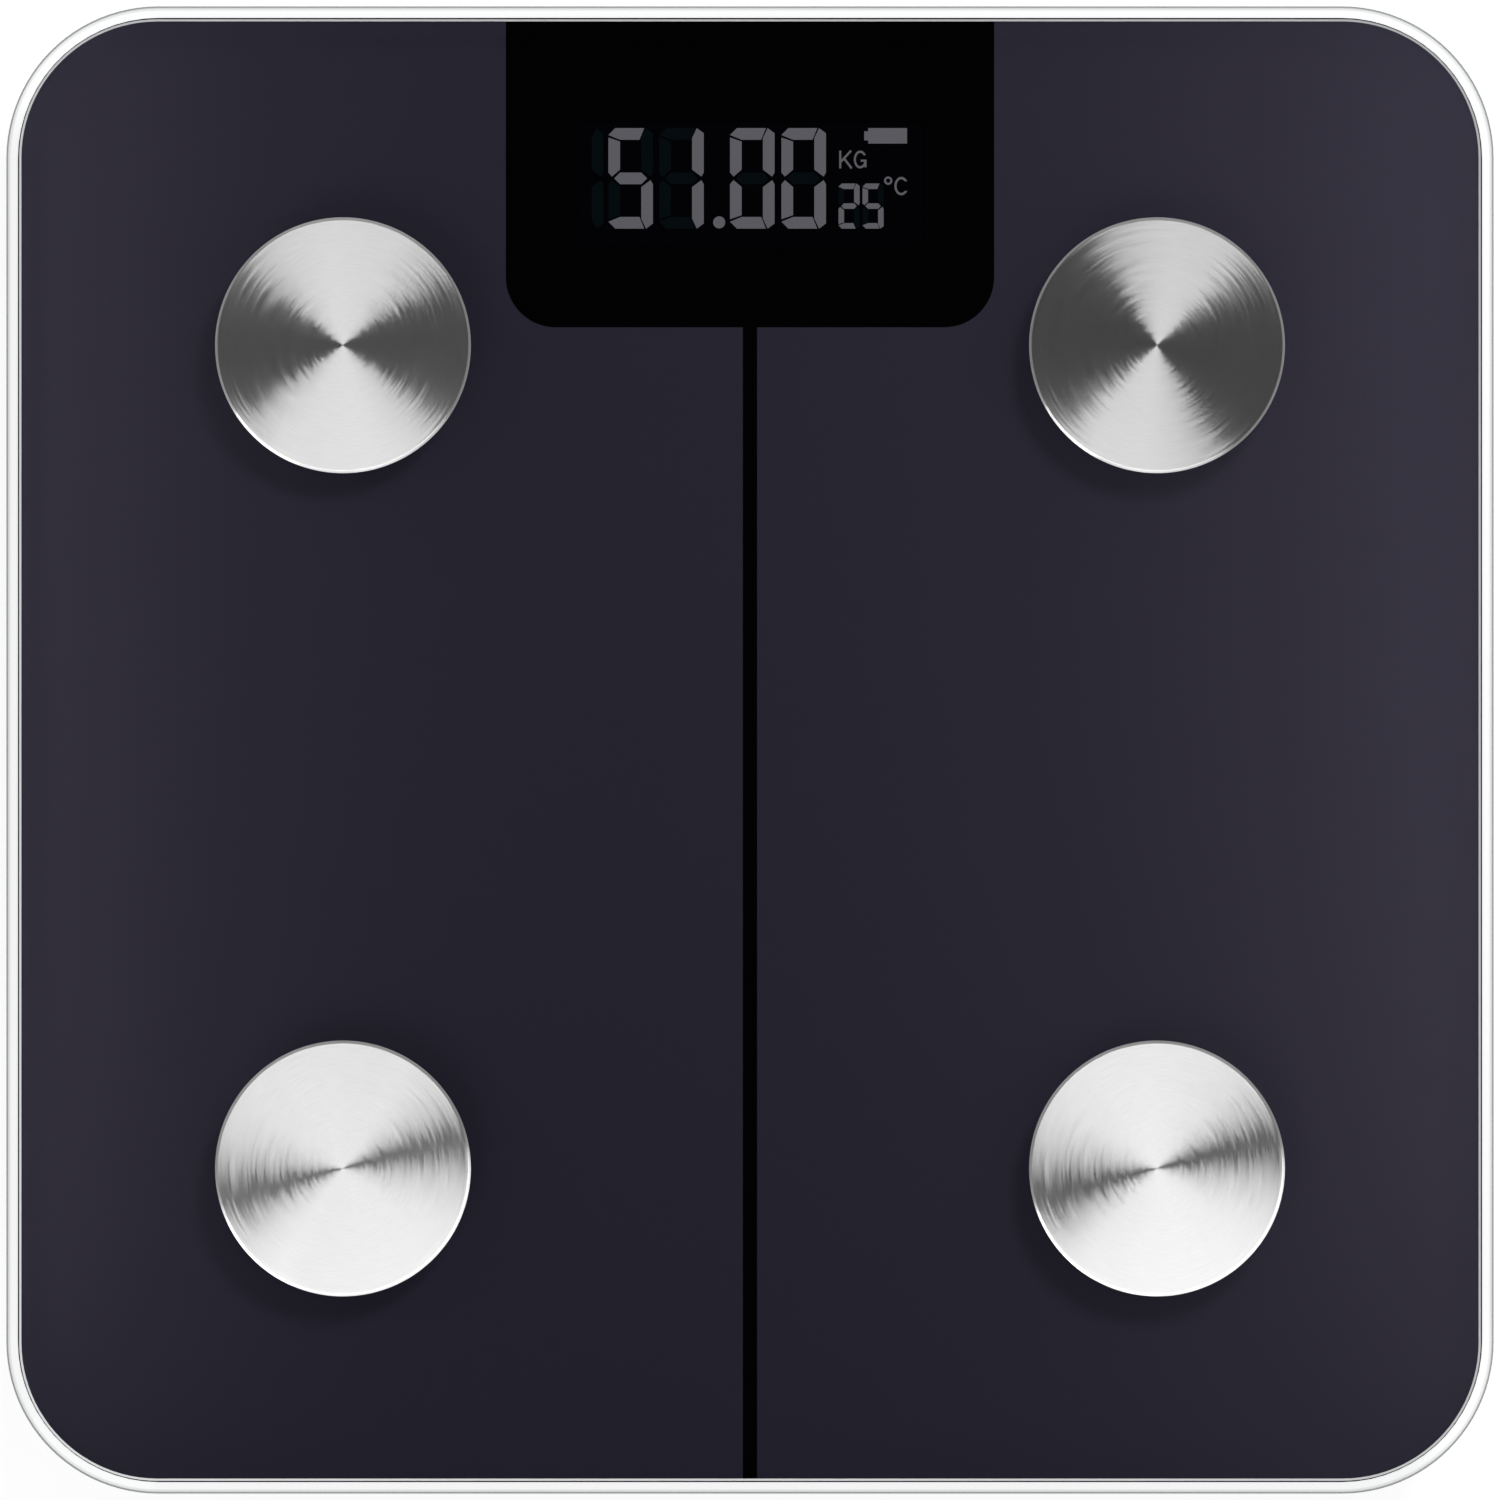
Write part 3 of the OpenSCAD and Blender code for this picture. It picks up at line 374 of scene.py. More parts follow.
def glass(name, tint, glancing_shade=None, frost=0, gloss=EDGE_GLOSS):
    """Clear glass: see-through, with a mirror coat by Fresnel. Frost is its ground share. Its
    see-through tint darkens at glancing views as painted shade.
    """
    look = Finish(name)
    wave_length, wave_depth = 60 * MM, 0.01 * MM
    grain_size, grain_tone = 0.2 * MM, (0.93, 0.945, 0.945)
    smear_size = 14 * MM
    face_on, edge_on = 0.08, 0.5
    wave = look.bump(look.noise(wave_length, 1), wave_depth)
    depth = (*tint, 1)
    # Painted shade: at glancing views the see-through tint falls to a darker one, standing in for
    # the darker surroundings that real glass refracts into view.
    if glancing_shade:
        facing = look.add("ShaderNodeLayerWeight", {"Blend": 0.5}).outputs["Facing"]
        depth = look.ramp(facing, (face_on, tint), (edge_on, glancing_shade))
    clear = look.add("ShaderNodeBsdfTransparent", {"Color": depth}).outputs[0]
    grains = look.shades(look.noise(grain_size, 2), grain_tone, 0.03)
    ground = look.add("ShaderNodeBsdfDiffuse", {"Color": grains}).outputs[0]
    smear = look.spread(look.noise(smear_size, 3), *gloss)
    mirror = look.add("ShaderNodeBsdfGlossy", {"Roughness": smear, "Normal": wave}).outputs[0]
    body = look.add("ShaderNodeMixShader", {"Fac": frost, 1: clear, 2: ground}).outputs[0]
    fresnel = look.add("ShaderNodeFresnel", {"IOR": 1.5, "Normal": wave}).outputs["Fac"]
    inside = look.add("ShaderNodeNewGeometry", {}).outputs["Backfacing"]
    share = look.maths("MULTIPLY", fresnel, look.maths("SUBTRACT", 1.0, inside))
    return look.surface(
        look.add("ShaderNodeMixShader", {"Fac": share, 1: body, 2: mirror}).outputs[0]
    )


def print_ink(name, colour, mottle):
    """Ink on the back of the glass, with the faint unevenness of a screen print."""
    look = Finish(name)
    mesh_size = 0.5 * MM
    tone = look.shades(look.noise(mesh_size, 3), colour, mottle)
    return look.principled(base_color=tone, roughness=0.7, specular_ior_level=0.0)


# ---- Metals ----

def brushed_steel():
    """Stainless steel brushed in circles about the middle of each piece."""
    look = Finish("brushed_steel")
    across = 44.7                                  # the disc's width in millimetres
    generated = look.coordinates["Generated"]
    middle = look.vector_maths("SUBTRACT", generated, (0.5, 0.5, 0.5))[0]
    flat = look.vector_maths("MULTIPLY", middle, (across, across, 0))[0]
    radius = look.vector_maths("LENGTH", flat)["Value"]
    around = look.vector_maths("NORMALIZE", flat)[0]

    def rings(per_mm, spin, detail):
        """Noise drawn out into rings: so many a millimetre, and short where spin is high."""
        spun = look.parts(look.vector_maths("SCALE", around, Scale=spin)[0])
        joined = {"X": spun["X"], "Y": spun["Y"], "Z": look.maths("MULTIPLY", radius, per_mm)}
        vector = look.add("ShaderNodeCombineXYZ", joined).outputs["Vector"]
        return look.noise(1.0, detail, vector=vector)

    coarse = rings(per_mm=1.3, spin=2.2, detail=3)
    fine = rings(per_mm=5.0, spin=5.0, detail=4)
    coarse_depth, fine_depth, strength = 0.010 * MM, 0.005 * MM, 0.5
    normal = look.bump(fine, fine_depth, strength, look.bump(coarse, coarse_depth, strength))
    tone = look.shades(fine, (0.72, 0.717, 0.72), 0.035)
    quarter, stray = 0.25, 0.042                   # turns from the tangent
    strokes = rings(per_mm=2.2, spin=1.6, detail=3)
    tangent = look.add("ShaderNodeTangent", {}, direction_type="RADIAL", axis="Z")
    return look.principled(
        base_color=tone,
        metallic=1.0,
        roughness=look.spread(coarse, 0.27, 0.33),
        anisotropic=1.0,
        anisotropic_rotation=look.spread(strokes, quarter - stray, quarter + stray),
        tangent=tangent.outputs[0],
        normal=normal,
    )


def metal(name, colour, roughness, stretch=(1, 1, 1)):
    """Plain metal with slight staining, and drawing lines where it is stretched."""
    look = Finish(name)
    line_size, line_depth = 0.25 * MM, 0.01 * MM
    stain_size, stain = 3 * MM, 0.08
    edge = 0.1 * MM
    lines = look.noise(line_size, 3, stretch)
    tone = look.shades(look.noise(stain_size, 4), colour, stain)
    normal = look.bump(lines, line_depth, 0.5, look.soft_edge(edge))
    rough = look.spread(lines, roughness * 0.8, roughness * 1.25)
    return look.principled(base_color=tone, metallic=1.0, roughness=rough, normal=normal)


# ---- Plastics, rubber and foam ----

def moulded(name, colour, grain=0.28 * MM, roughness=0.5, edge=0.15 * MM):
    """Moulded plastic with a spark-eroded grain."""
    look = Finish(name)
    grain_depth = 0.02 * MM
    cloud_size, cloud = 9 * MM, 0.1
    grains = look.noise(grain, 2)
    tone = look.shades(look.noise(cloud_size, 4), colour, cloud)
    rough = look.spread(grains, roughness * 0.85, roughness * 1.15)
    normal = look.bump(grains, grain_depth, 0.8, look.soft_edge(edge))
    return look.principled(base_color=tone, roughness=rough, normal=normal)


def rubber():
    """Black rubber, dull, with a dusting of lighter bloom."""
    look = Finish("pad_rubber")
    bloom_size, grain_size, grain_depth = 4 * MM, 0.15 * MM, 0.015 * MM
    black, dusty = (0.014, 0.014, 0.015), (0.045, 0.044, 0.042)
    bloom = look.noise(bloom_size, 5)
    tone = look.ramp(bloom, (0.35, black), (0.75, dusty))
    normal = look.bump(look.noise(grain_size, 2), grain_depth, 0.7)
    rough = look.spread(bloom, 0.62, 0.85)
    return look.principled(base_color=tone, roughness=rough, normal=normal)


def foam():
    """White foam tape, with its cells showing along the cut edge, their hollows darkened by painted
    shade.
    """
    look = Finish("bonding_foam")
    cell_size, cell_depth = 0.12 * MM, 0.04 * MM
    shaded_hollow, skin = (0.5, 0.5, 0.47), (0.82, 0.82, 0.79)
    cells = look.cells(cell_size)
    # Painted shade: the hollows of the cells are coloured darker than the skin.
    tone = look.ramp(cells, (0.1, shaded_hollow), (0.6, skin))
    return look.principled(base_color=tone, roughness=0.9, normal=look.bump(cells, cell_depth))


def lead_sleeve(name, colour):
    """Soft wire insulation."""
    look = Finish(name)
    cloud_size, scuff_size = 2 * MM, 0.8 * MM
    tone = look.shades(look.noise(cloud_size, 3), colour, 0.12)
    rough = look.spread(look.noise(scuff_size, 2), 0.32, 0.48)
    return look.principled(
        base_color=tone, roughness=rough, coat_weight=0.15, coat_roughness=0.3
    )


def blank_label():
    """Silver label with nothing on it but a thin printed border."""
    low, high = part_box("rating_label")
    half, middle = (high - low) / 2, (high + low) / 2
    border, line = 1.6 * MM, 0.35 * MM
    brushing, along = 0.3 * MM, (0.05, 1, 1)
    silver, ink = (0.55, 0.56, 0.57), (0.03, 0.03, 0.035)
    look = Finish("blank_label")
    offset = look.parts(look.vector_maths("SUBTRACT", look.place(), middle)[0])
    reach = look.maths(
        "MAXIMUM",
        look.maths("SUBTRACT", look.maths("ABSOLUTE", offset["X"]), half.x - border),
        look.maths("SUBTRACT", look.maths("ABSOLUTE", offset["Y"]), half.y - border),
    )
    on_line = look.maths("COMPARE", reach, 0.0, line / 2)
    foil = look.shades(look.noise(brushing, 3, along), silver, 0.06)
    tone = look.mix(on_line, foil, ink)
    return look.principled(base_color=tone, metallic=0.6, roughness=0.38)


# ---- Electrics ----

def circuit_board(name, mask, copper):
    """Solder mask over copper tracks, with bare pads."""
    look = Finish(name)
    track_pitch, track_share, track_depth = 2.4 * MM, 0.06, 0.03 * MM
    pad_pitch, pad_share = 3.1 * MM, 0.13
    weave_size = 0.7 * MM
    bricks = {
        "Vector": look.place(), "Scale": 1 / track_pitch, "Mortar Size": track_share,
        "Color1": (0, 0, 0, 1), "Color2": (0.12, 0.12, 0.12, 1), "Mortar": (1, 1, 1, 1),
    }
    tracks = look.add("ShaderNodeTexBrick", bricks).outputs["Color"]
    pads = look.maths("LESS_THAN", look.cells(pad_pitch), pad_share)
    weave = look.shades(look.noise(weave_size, 2), mask, 0.12)
    over_copper = [c * 1.9 + 0.01 for c in mask]
    tone = look.mix(pads, look.mix(tracks, weave, over_copper), copper)
    return look.principled(
        base_color=tone,
        roughness=look.spread(pads, 0.34, 0.22),
        metallic=look.spread(pads, 0, 1),
        normal=look.bump(tracks, track_depth, 0.6),
    )


def glowing(name, colour, glow):
    """A display segment, evenly bright but for the grain of its diffuser."""
    look = Finish(name)
    grain_size = 0.3 * MM
    tone = look.shades(look.noise(grain_size, 2), colour, 0.02)
    return look.principled(
        base_color=(0.001, 0.001, 0.001), roughness=0.5, specular_ior_level=0.0,
        emission_color=tone, emission_strength=glow,
    )


def battery_sleeve():
    """Printed sleeve of a battery: a dark body and a bronze band at the positive end."""
    look = Finish("battery_sleeve")
    dark, silver, bronze = (0.02, 0.022, 0.026), (0.6, 0.6, 0.6), (0.34, 0.16, 0.06)
    line_start, line, line_end = 0.70, 0.705, 0.72     # shares of the battery's length
    speckle_size = 0.4 * MM
    along = look.parts(look.coordinates["UV"])["X"]
    band = look.ramp(
        along, (0.0, dark), (line_start, dark), (line, silver), (line_end, bronze), (1.0, bronze)
    )
    return look.principled(
        base_color=band,
        metallic=0.35,
        roughness=look.spread(look.noise(speckle_size, 2), 0.26, 0.36),
        coat_weight=0.4,
        coat_roughness=0.1,
    )


# ---- Pieces ----

def glass_profile(thick):
    """Points up the edge of the glass: how far in each lies, and how high."""
    inner = 9 * MM
    chamfer, bevel_drop, wall_drop = 0.6 * MM, 0.65 * MM, 1.3 * MM
    return rounded([
        (inner, 0),
        (chamfer, 0, 0.3 * MM),
        (0, chamfer, 0.3 * MM),
        (0, thick - wall_drop, 0.35 * MM),
        (GLASS_SHOULDER, thick - bevel_drop, 0.5 * MM),
        (GLASS_BEVEL, thick, 1.3 * MM),
        (inner, thick),
    ], steps=6)


def glass_top(face, bevel, arris, wall):
    """Tempered glass with a polished bevel, ground arrises and four drilled holes."""
    low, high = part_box("glass_platform")
    thick = high.z - low.z
    bm = bmesh.new()
    rings = [
        square_ring(high.x - inset, GLASS_CORNER - inset, low.z + rise)
        for inset, rise in glass_profile(thick)
    ]
    rows = loft(bm, rings, caps=False)
    loops = {low.z: [rows[0]], high.z: [rows[-1]]}
    chamfer = 0.3 * MM
    wide = STUD_HOLE + chamfer
    hole_steps = [(wide, 0), (STUD_HOLE, chamfer), (STUD_HOLE, thick - chamfer), (wide, thick)]
    for corner in CORNERS:
        centre = middle_of(f"electrode_{corner}")
        hole = [circle_ring(centre, radius, low.z + rise, 40) for radius, rise in hole_steps]
        rows = loft(bm, hole, caps=False)
        loops[low.z].append(rows[0])
        loops[high.z].append(rows[-1])
    for level in loops.values():
        edges = [bm.edges.get((row[i - 1], row[i])) for row in level for i in range(len(row))]
        bmesh.ops.triangle_fill(bm, use_beauty=True, edges=edges)
    flat, sloped, narrow, upright = range(4)
    arris_start, wall_start, wall_end = thick - 0.07 * MM, 0.5 * MM, thick - 1.1 * MM
    for part in bm.faces:
        heights = [v.co.z - low.z for v in part.verts]
        if max(heights) - min(heights) < TOUCHING:
            part.material_index = flat
        elif min(heights) > arris_start:
            part.material_index = narrow
        elif min(heights) > wall_start and max(heights) < wall_end:
            part.material_index = upright
        else:
            part.material_index = sloped
    finishes = (face, bevel, arris, wall)
    return add_piece("glass_top", bm, finishes, "platform", "glass_platform")


def electrode(corner, steel):
    """Steel disc with a rounded bevel, on the stud that goes through the glass."""
    node = f"electrode_{corner}"
    low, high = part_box(node)
    radius = (high.x - low.x) / 2
    tall = high.z - low.z
    stud, stud_chamfer = 1.5 * MM, 0.2 * MM
    disc, arris = tall - 0.8 * MM, 0.1 * MM
    bevel_wide, bevel_high = 0.45 * MM, 0.315 * MM
    profile = rounded([
        (0, 0),
        (stud - stud_chamfer, 0),
        (stud, stud_chamfer),
        (stud, disc, 0.15 * MM),
        (radius - arris, disc),
        (radius, disc + arris),
        (radius, tall - bevel_high, 0.1 * MM),
        (radius - bevel_wide, tall, 0.3 * MM),
        (radius * 0.6, tall),
        (radius * 0.2, tall),
        (0, tall),
    ], steps=4)
    bm = bmesh.new()
    lathe(bm, profile, middle_of(node), steps=160)
    name = f"electrode_disc_{corner}"
    return add_piece(name, bm, [steel], "platform", node)


def foot_cup(corner, plastic):
    """Cup that slides in the base, with rails under the load cell and four snap hooks."""
    node = f"foot_cup_{corner}"
    low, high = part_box(node)
    centre = middle_of(node)
    radius = (high.x - low.x) / 2
    rim, floor, wall = 6.6 * MM, 2 * MM, 1.6 * MM
    recess, recess_deep = 17.1 * MM, 0.8 * MM
    sunk = 0.5 * MM          # how far rails and hooks reach into what they stand on
    profile = rounded([
        (0, recess_deep),
        (recess, recess_deep, 0.15 * MM),
        (recess, 0, 0.2 * MM),
        (radius, 0, 1 * MM),
        (radius, rim, 0.3 * MM),
        (radius - wall, rim, 0.3 * MM),
        (radius - wall, floor, 0.5 * MM),
        (0, floor),
    ], steps=4)
    bm = bmesh.new()
    lathe(bm, profile, centre)
    rail_half, rail_out, rail_top = Vector((1.4, 11, 0)) * MM, 11.5 * MM, 3.6 * MM
    for side in (-1, 1):
        middle = centre + Vector((side * rail_out, 0, 0))
        block(bm, middle - rail_half + UP * (floor - sunk), middle + rail_half + UP * rail_top)
    inner, root, top = 16.9 * MM, floor - sunk, high.z - low.z
    stem, barb, tip = inner + 1.4 * MM, inner + 2.8 * MM, inner + 1.2 * MM
    catch, catch_high = top - 1.75 * MM, 0.4 * MM
    outline = rounded([
        (inner, root),
        (stem, root),
        (stem, catch),
        (barb, catch, 0.12 * MM),
        (barb, catch + catch_high, 0.12 * MM),
        (tip, top, 0.3 * MM),
        (inner, top, 0.3 * MM),
    ], steps=3)
    hook_half = 3.5 * MM
    for quarter in range(4):
        turn = quarter * math.pi / 2
        out = Vector((math.cos(turn), math.sin(turn), 0))
        across = Vector((-out.y, out.x, 0)) * hook_half
        loft(bm, [
            [centre + out * r + UP * z + across * side for r, z in outline] for side in (-1, 1)
        ])
    return add_piece(f"cup_{corner}", bm, [plastic], FEET[corner], node)


def foot_pad(corner, pad_rubber):
    """Rubber pad with rounded grip rings on its underside."""
    node = f"foot_pad_{corner}"
    low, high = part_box(node)
    radius = (high.x - low.x) / 2
    tall = high.z - low.z
    groove, bottom, deep, lip = 0.7 * MM, 0.7 * MM * 0.8, 0.5 * MM, 0.15 * MM
    corners = [(0, tall), (radius, tall, 0.2 * MM), (radius, 0, 0.4 * MM)]
    for middle in (13 * MM, 9 * MM, 5 * MM):
        corners += [
            (middle + groove, 0, lip),
            (middle + bottom, deep, lip),
            (middle - bottom, deep, lip),
            (middle - groove, 0, lip),
        ]
    bm = bmesh.new()
    lathe(bm, rounded(corners + [(0, 0)], steps=3), middle_of(node))
    return add_piece(f"pad_{corner}", bm, [pad_rubber], FEET[corner], node)


def unit_button(plastic):
    """Round button with a shallow dish for a fingertip, and a flange that holds it in."""
    low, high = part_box("unit_button")
    tall = high.z - low.z
    flange, face, nose = (high.x - low.x) / 2, 3.8 * MM, 2.2 * MM
    flange_low, flange_high = 1.7 * MM, 2.5 * MM
    lip, edge = 0.7 * MM, 0.1 * MM
    profile = rounded([
        (0, 0.35 * MM),
        (face * 0.45, 0.3 * MM, 4 * MM),
        (face - lip, 0, 0.3 * MM),
        (face, 0, 0.4 * MM),
        (face, flange_low, edge),
        (flange, flange_low, edge),
        (flange, flange_high, edge),
        (nose, flange_high, edge),
        (nose, tall, 0.15 * MM),
        (0, tall),
    ], steps=4)
    bm = bmesh.new()
    lathe(bm, profile, middle_of("unit_button"), steps=72)
    return add_piece("button", bm, [plastic], "unit_button", "unit_button")


def grip_grooves(low, high):
    """Cutter for the grooves across the door that a thumb pushes on."""
    half, wide, deep, pitch, over = 9 * MM, 0.8 * MM, 0.5 * MM, 2 * MM, 1 * MM
    cutter = bmesh.new()
    for i in range(4):
        rear = high.y - 3.8 * MM - i * pitch
        groove = rounded([
            (rear - wide, low.z - over),
            (rear, low.z - over),
            (rear, low.z + deep, 0.3 * MM),
            (rear - wide, low.z + deep, 0.3 * MM),
        ], steps=3)
        extrusion(cutter, groove, -half, half)
    return cutter


def door_plate(plastic):
    """Battery door: a plate with a round hinge edge, trunnions, grip grooves and two ribs."""
    low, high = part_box("battery_door")
    hinge = next(j for j in frame["joints"] if j["name"] == "battery_door_hinge")
    pivot = Vector(hinge["pos_m"])
    pin, nose = 0.7 * MM, 0.8 * MM
    half, sunk = high.x - 1.2 * MM, 0.5 * MM
    top = low.z + 1.6 * MM
    outline = rounded([
        (pivot.y - nose, low.z, nose * 0.99),
        (high.y, low.z, 0.3 * MM),
        (high.y, top, 0.2 * MM),
        (pivot.y - nose, top, nose * 0.99),
    ], steps=6)
    bm = bmesh.new()
    extrusion(bm, outline, -half, half)
    bm = carved(bm, grip_grooves(low, high))
    tip = high.x - half + sunk
    trunnion = rounded([(0, 0), (pin, 0), (pin, tip, 0.2 * MM), (0, tip)], 3)
    rib_half = Vector((0.6, 14, 0)) * MM
    rib_out, rib_along, rib_high = 14 * MM, 16.4 * MM, 0.35 * MM
    for side in (-1, 1):
        end = Vector((side * (half - sunk), pivot.y, pivot.z))
        lathe(bm, [(r, z * side) for r, z in trunnion], end, steps=32, axis="X")
        middle = Vector((side * rib_out, pivot.y + rib_along, top))
        block(bm, middle - rib_half - UP * sunk, middle + rib_half + UP * rib_high)
    return add_piece(
        "door_plate", bm, [plastic], "battery_door", "battery_door", 0.1 * MM
    )


def door_latch(plastic):
    """Bent spring tongue of the door, with its catch and thumb tab."""
    low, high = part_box("battery_door_latch")
    thick = 1.2 * MM
    inner, outer = low.y, high.y - 2 * MM - thick
    root, step = low.z + 1.4 * MM, low.z + 0.8 * MM
    catch, catch_high, ramp_high = low.z + 1.65 * MM, 0.3 * MM, 1.4 * MM
    tab = high.y - 1.3 * MM
    bend, edge = 1.4 * MM, 0.1 * MM
    outline = rounded([
        (inner, root),
        (inner, high.z, bend),
        (outer + thick, high.z, bend),
        (outer + thick, catch + ramp_high, 0.2 * MM),
        (high.y, catch + catch_high, edge),
        (high.y, catch, edge),
        (outer + thick, catch, edge),
        (outer + thick, step, edge),
        (tab, step, 0.25 * MM),
        (tab, low.z, 0.25 * MM),
        (outer, low.z, 0.3 * MM),
        (outer, high.z - thick, 0.35 * MM),
        (inner + thick, high.z - thick, 0.35 * MM),
        (inner + thick, root),
    ], steps=4)
    bm = bmesh.new()
    extrusion(bm, outline, low.x, high.x)
    return add_piece(
        "door_latch", bm, [plastic], "battery_door", "battery_door_latch",
        0.12 * MM,
    )


def battery(row, sleeve, steel):
    """AAA cell: rolled ends, a sleeve, and the raised positive cap."""
    node = f"battery_{row}"
    low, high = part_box(node)
    radius = (high.z - low.z) / 2
    forward = -1 if high.x < -low.x - 1 * MM else 1     # the cap's end lies further out
    tall = high.x - low.x
    shell = tall - 1 * MM
    dent, crimp, gasket, cap = 0.25 * MM, radius - 0.9 * MM, radius - 1.1 * MM, 1.9 * MM
    profile = rounded([
        (0, dent),
        (radius - 1.2 * MM, dent),
        (crimp, 0),
        (radius, 0, 0.35 * MM),
        (radius, shell, 0.4 * MM),
        (crimp, shell),
        (gasket, shell - dent),
        (2.1 * MM, shell - dent),
        (cap, shell),
        (cap, tall, 0.3 * MM),
        (0, tall),
    ], steps=4)
    middle = (low + high) / 2
    start = Vector((low.x if forward > 0 else high.x, middle.y, middle.z))
    bm = bmesh.new()
    lathe(bm, [(r, z * forward) for r, z in profile], start, steps=64, axis="X")
    sleeve_edge = radius - 0.5 * MM
    layer = bm.loops.layers.uv.new("along")
    for face in bm.faces:
        reach = max(math.hypot(v.co.y - start.y, v.co.z - start.z) for v in face.verts)
        face.material_index = 0 if reach > sleeve_edge else 1
        for loop in face.loops:
            loop[layer].uv = (abs(loop.vert.co.x - start.x) / tall, 0)
    return add_piece(f"cell_{row}", bm, [sleeve, steel], "platform", node)


def foot_lead(corner, insulation):
    """Lead of a strain gauge."""
    node = f"foot_lead_{corner}"
    lead = bpy.data.objects.new(f"lead_{corner}", frame["nodes"][node].data.copy())
    lead.data.materials.clear()
    lead.data.materials.append(insulation)
    bpy.context.collection.objects.link(lead)
    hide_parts(node)
    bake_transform(lead)


# ---- CAD nodes that keep their shape ----

def paint(materials):
    """Gives CAD nodes their finish, by the slot each one takes."""
    for node in frame["nodes"].values():
        for slot in node.material_slots:
            slot.material = materials[slot.material.name.split(".")[0]]


# ---- Studio ----

def light_table():
    """Pale table that glows a little, as a lit acrylic sheet does."""
    look = Finish("light_table")
    cloud_size = 0.4
    tone = look.shades(look.noise(cloud_size, 2), (0.9, 0.9, 0.9), 0.01)
    material = look.principled(
        base_color=tone, roughness=0.9, specular_ior_level=0.0,
        emission_color=(1, 1, 1), emission_strength=TABLE_GLOW,
    )
    half, level = TABLE_SIZE / 2, CAD_BOX[0].z
    ends = [(-half, -half, level), (half, -half, level), (half, half, level), (-half, half, level)]
    mesh = bpy.data.meshes.new("light_table")
    mesh.from_pydata(ends, [], [(0, 1, 2, 3)])
    mesh.materials.append(material)
    table = bpy.data.objects.new("light_table", mesh)
    bpy.context.collection.objects.link(table)


def area_light(name, place, size, radiance, receivers, spare=False):
    """Soft box that faces down. It lights only the receivers, or with spare all but them."""
    data = bpy.data.lights.new(name, "AREA")
    data.shape = "RECTANGLE"
    data.size, data.size_y = size
    data.energy = radiance * 4 * size[0] * size[1]      # watts for a radiance over this area
    light = bpy.data.objects.new(name, data)
    light.location = place
    light.visible_camera = False
    bpy.context.collection.objects.link(light)
    group = bpy.data.collections.new(name)
    for piece in receivers:
        group.objects.link(piece)
    for member in group.collection_objects:
        member.light_linking.link_state = "EXCLUDE" if spare else "INCLUDE"
    light.light_linking.receiver_collection = group
    return light


def aimed_light(name, place, size, radiance, receivers, spare=False):
    """Soft box that faces the scale."""
    light = area_light(name, place, size, radiance, receivers, spare)
    light.rotation_euler = (-Vector(place)).to_track_quat("-Z", "Y").to_euler()
    return light


def side_strip(name, x, height, width, radiance, film):
    """Long low strip beside the scale, which lifts the film's tone towards that side."""
    rearward, length, tilt, warm = 0.16, 0.55, 60, (1, 0.99, 0.78)
    place = (x, rearward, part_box("glass_platform")[1].z + height)
    light = area_light(name, place, (width, length), radiance, film)
    light.rotation_euler.y = math.copysign(math.radians(tilt), x)
    light.data.color = warm
    light.visible_glossy = False
    light.data.use_shadow = False


def electrode_boxes(electrodes):
    """Level soft boxes over each electrode, which draw the bright wedges on its brushing."""
    side_on, corner_first = 90, 135
    for corner, boxes in SOFT_BOXES.items():
        low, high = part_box(f"electrode_{corner}")
        over = Vector(((low.x + high.x) / 2, (low.y + high.y) / 2, high.z + BOX_HEIGHT))
        for i, (heading, gap, size, radiance, corner_on) in enumerate(boxes):
            turn = math.radians(heading)
            reach = gap + (math.hypot(*size) if corner_on else size[1]) / 2
            place = over + Vector((math.cos(turn), math.sin(turn), 0)) * reach
            light = area_light(f"box_{corner}_{i}", place, size, radiance, [electrodes[corner]])
            light.rotation_euler.z = turn + math.radians(corner_first if corner_on else side_on)


def studio_sky():
    """Dim room, dark straight above where the camera is, with pale walls at eye level."""
    walls_bright, walls_dim = 0.95, 0.15
    walls_start, walls_end = 0.02, 0.45          # heights of directions: 0 level, 1 straight up
    hole_start, hole_end = 0.88, 0.95
    world = bpy.data.worlds.new("studio")
    bpy.context.scene.world = world
    sky = Nodes(world)

    def eased(value, low, high, start, end):
        """Goes smoothly from start to end as the value goes from low to high."""
        inputs = {"Value": value, "From Min": low, "From Max": high, "To Min": start, "To Max": end}
        node = sky.add("ShaderNodeMapRange", inputs, interpolation_type="SMOOTHSTEP")
        return node.outputs["Result"]

    height = sky.maths("ABSOLUTE", sky.parts(sky.coordinates["Generated"])["Z"])
    walls = eased(height, walls_start, walls_end, walls_bright, walls_dim)
    total = sky.maths("MULTIPLY", walls, eased(height, hole_start, hole_end, 1, 0))
    background = sky.add("ShaderNodeBackground", {"Color": (1, 1, 1, 1), "Strength": total})
    sky.add("ShaderNodeOutputWorld", {"Surface": background.outputs[0]})


def studio_lights(electrodes, glass_piece):
    """Boxes over the electrodes, strips for the film, and three lights from the sides."""
    discs = list(electrodes.values())
    film = [frame["nodes"]["back_print"]]
    electrode_boxes(electrodes)
    side_strip("left_strip", x=-0.145, height=0.03, width=0.02, radiance=2.3, film=film)
    side_strip("right_strip", x=0.17, height=0.05, width=0.04, radiance=3.1, film=film)
    aimed_light("key", (0.6, 0.9, 1.1), (0.4, 0.4), 7.9, [*discs, glass_piece], spare=True)
    aimed_light("glint", (-1.1, -1.1, 0.6), (1.0, 0.4), 4, discs)
    aimed_light("fill", (-0.9, -1.4, 1.4), (1.2, 1.2), 0.94, discs, spare=True)
    rim = aimed_light("rim", (-0.7, -0.7, 1.1), (0.8, 0.8), 5.5, [glass_piece])
    rim.visible_glossy = False


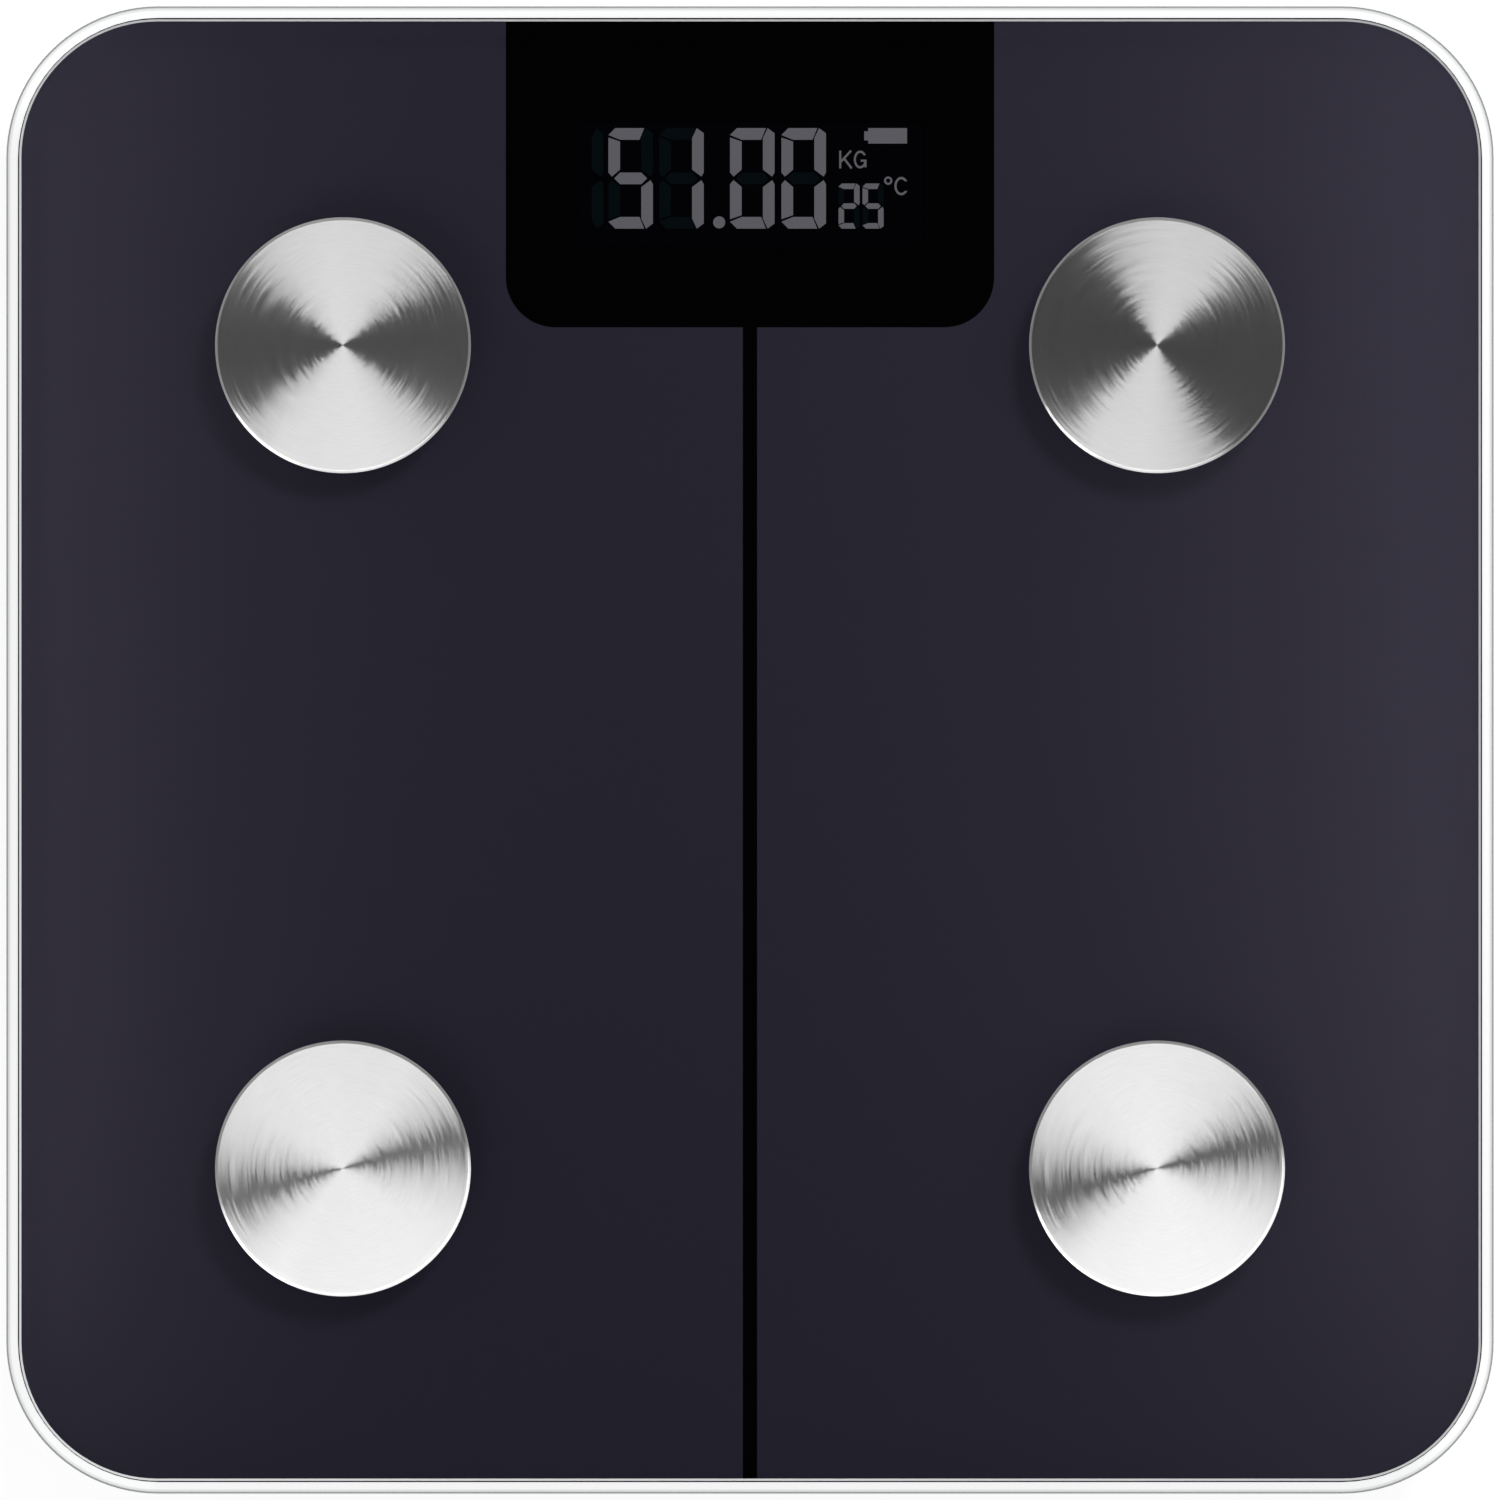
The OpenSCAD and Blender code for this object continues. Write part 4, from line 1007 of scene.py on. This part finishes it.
def overhead_camera():
    """Camera straight above, far enough off to see no sides, framed just round the glass."""
    low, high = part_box("glass_platform")
    data = bpy.data.cameras.new("overhead")
    data.sensor_width = 36
    data.lens = data.sensor_width * CAMERA_HEIGHT / ((high.x - low.x) * FRAME_MARGIN)
    data.clip_start, data.clip_end = 0.1, 50
    camera = bpy.data.objects.new("overhead", data)
    camera.location = (0, 0, high.z + CAMERA_HEIGHT)
    bpy.context.collection.objects.link(camera)
    bpy.context.scene.camera = camera


# ---- Build ----

overhead_camera()

steel = brushed_steel()
clear_glass = glass("clear_glass", (0.99, 0.993, 0.992), gloss=FLAT_GLOSS)
shell_plastic = moulded("base_plastic", (0.018, 0.018, 0.019))
cup_plastic = moulded("foot_plastic", (0.026, 0.026, 0.028), grain=0.2 * MM)
door_plastic = moulded("door_plastic", (0.02, 0.02, 0.021), edge=0.02 * MM)
grey_plastic = moulded("button_plastic", (0.12, 0.12, 0.125), grain=0.16 * MM, edge=0.02 * MM)
pad_rubber = rubber()
red_sleeve = lead_sleeve("lead_insulation_red", (0.35, 0.012, 0.01))
nickel = metal("plated_steel", (0.62, 0.6, 0.57), roughness=0.28, stretch=(1, 0.1, 1))
sleeve = battery_sleeve()

# The polished bevel and the ground edge take painted shade at glancing views.
glass_piece = glass_top(
    clear_glass,
    glass("polished_bevel", (0.996, 0.998, 0.997), glancing_shade=(0.56, 0.58, 0.57)),
    glass("ground_arris", (0.9, 0.95, 0.93), frost=0.85),
    glass("ground_edge", (0.80, 0.91, 0.87), glancing_shade=(0.42, 0.43, 0.43), frost=0.10),
)
electrodes = {corner: electrode(corner, steel) for corner in CORNERS}
for corner in CORNERS:
    foot_cup(corner, cup_plastic)
    foot_pad(corner, pad_rubber)
    foot_lead(corner, red_sleeve)
unit_button(grey_plastic)
door_plate(door_plastic)
door_latch(door_plastic)
for row in ("front", "middle", "rear"):
    battery(row, sleeve, nickel)

BOARD_GREEN, GILT = (0.006, 0.07, 0.022), (0.75, 0.6, 0.35)
BOARD_BLUE, TINNED = (0.005, 0.02, 0.09), (0.7, 0.68, 0.62)
paint({
    "clear_glass": clear_glass,
    "blue_grey_print": print_ink("blue_grey_print", (0.042, 0.038, 0.066), mottle=0.006),
    "black_print": print_ink("black_print", (0.0024, 0.0024, 0.0026), mottle=0.03),
    "clear_adhesive": moulded("clear_adhesive", (0.6, 0.6, 0.56), roughness=0.6),
    "plated_brass": metal("plated_brass", (0.72, 0.55, 0.3), roughness=0.3),
    "zinc_plated_steel": metal("zinc_plated_steel", (0.6, 0.61, 0.63), roughness=0.35),
    "lead_insulation_black": lead_sleeve("lead_insulation_black", (0.015, 0.015, 0.016)),
    "lead_insulation_red": red_sleeve,
    "bonding_foam": foam(),
    "base_plastic": shell_plastic,
    "blank_label": blank_label(),
    "circuit_board": circuit_board("circuit_board", BOARD_GREEN, GILT),
    "component_black": moulded("component_black", (0.012, 0.012, 0.013), grain=0.1 * MM),
    "radio_board": circuit_board("radio_board", BOARD_BLUE, TINNED),
    "socket_plastic": moulded("socket_plastic", (0.72, 0.69, 0.6), grain=0.1 * MM, roughness=0.42),
    "lcd_glass": print_ink("lcd_glass", (0.0026, 0.0028, 0.0042), mottle=0.05),
    "segment_lit": glowing("segment_lit", (0.89, 0.88, 1.0), glow=0.12),
    "segment_unlit": glowing("segment_unlit", (0.35, 0.8, 1.0), glow=0.0045),
    "light_guide": moulded("light_guide", (0.8, 0.8, 0.82), roughness=0.3),
    "battery_sleeve": sleeve,
    "spring_steel": metal("spring_steel", (0.58, 0.58, 0.6), roughness=0.25),
    "plated_steel": nickel,
    "door_plastic": door_plastic,
    "button_plastic": grey_plastic,
    "brushed_electrode": steel,
    "foot_plastic": cup_plastic,
    "pad_rubber": pad_rubber,
    "load_cell_steel": metal(
        "load_cell_steel", (0.52, 0.53, 0.55), roughness=0.32, stretch=(1, 0.06, 1)
    ),
    "gauge_coating": moulded("gauge_coating", (0.62, 0.6, 0.5), grain=0.6 * MM, roughness=0.4),
})

light_table()
studio_sky()
studio_lights(electrodes, glass_piece)
bpy.context.scene.view_settings.view_transform = "Standard"
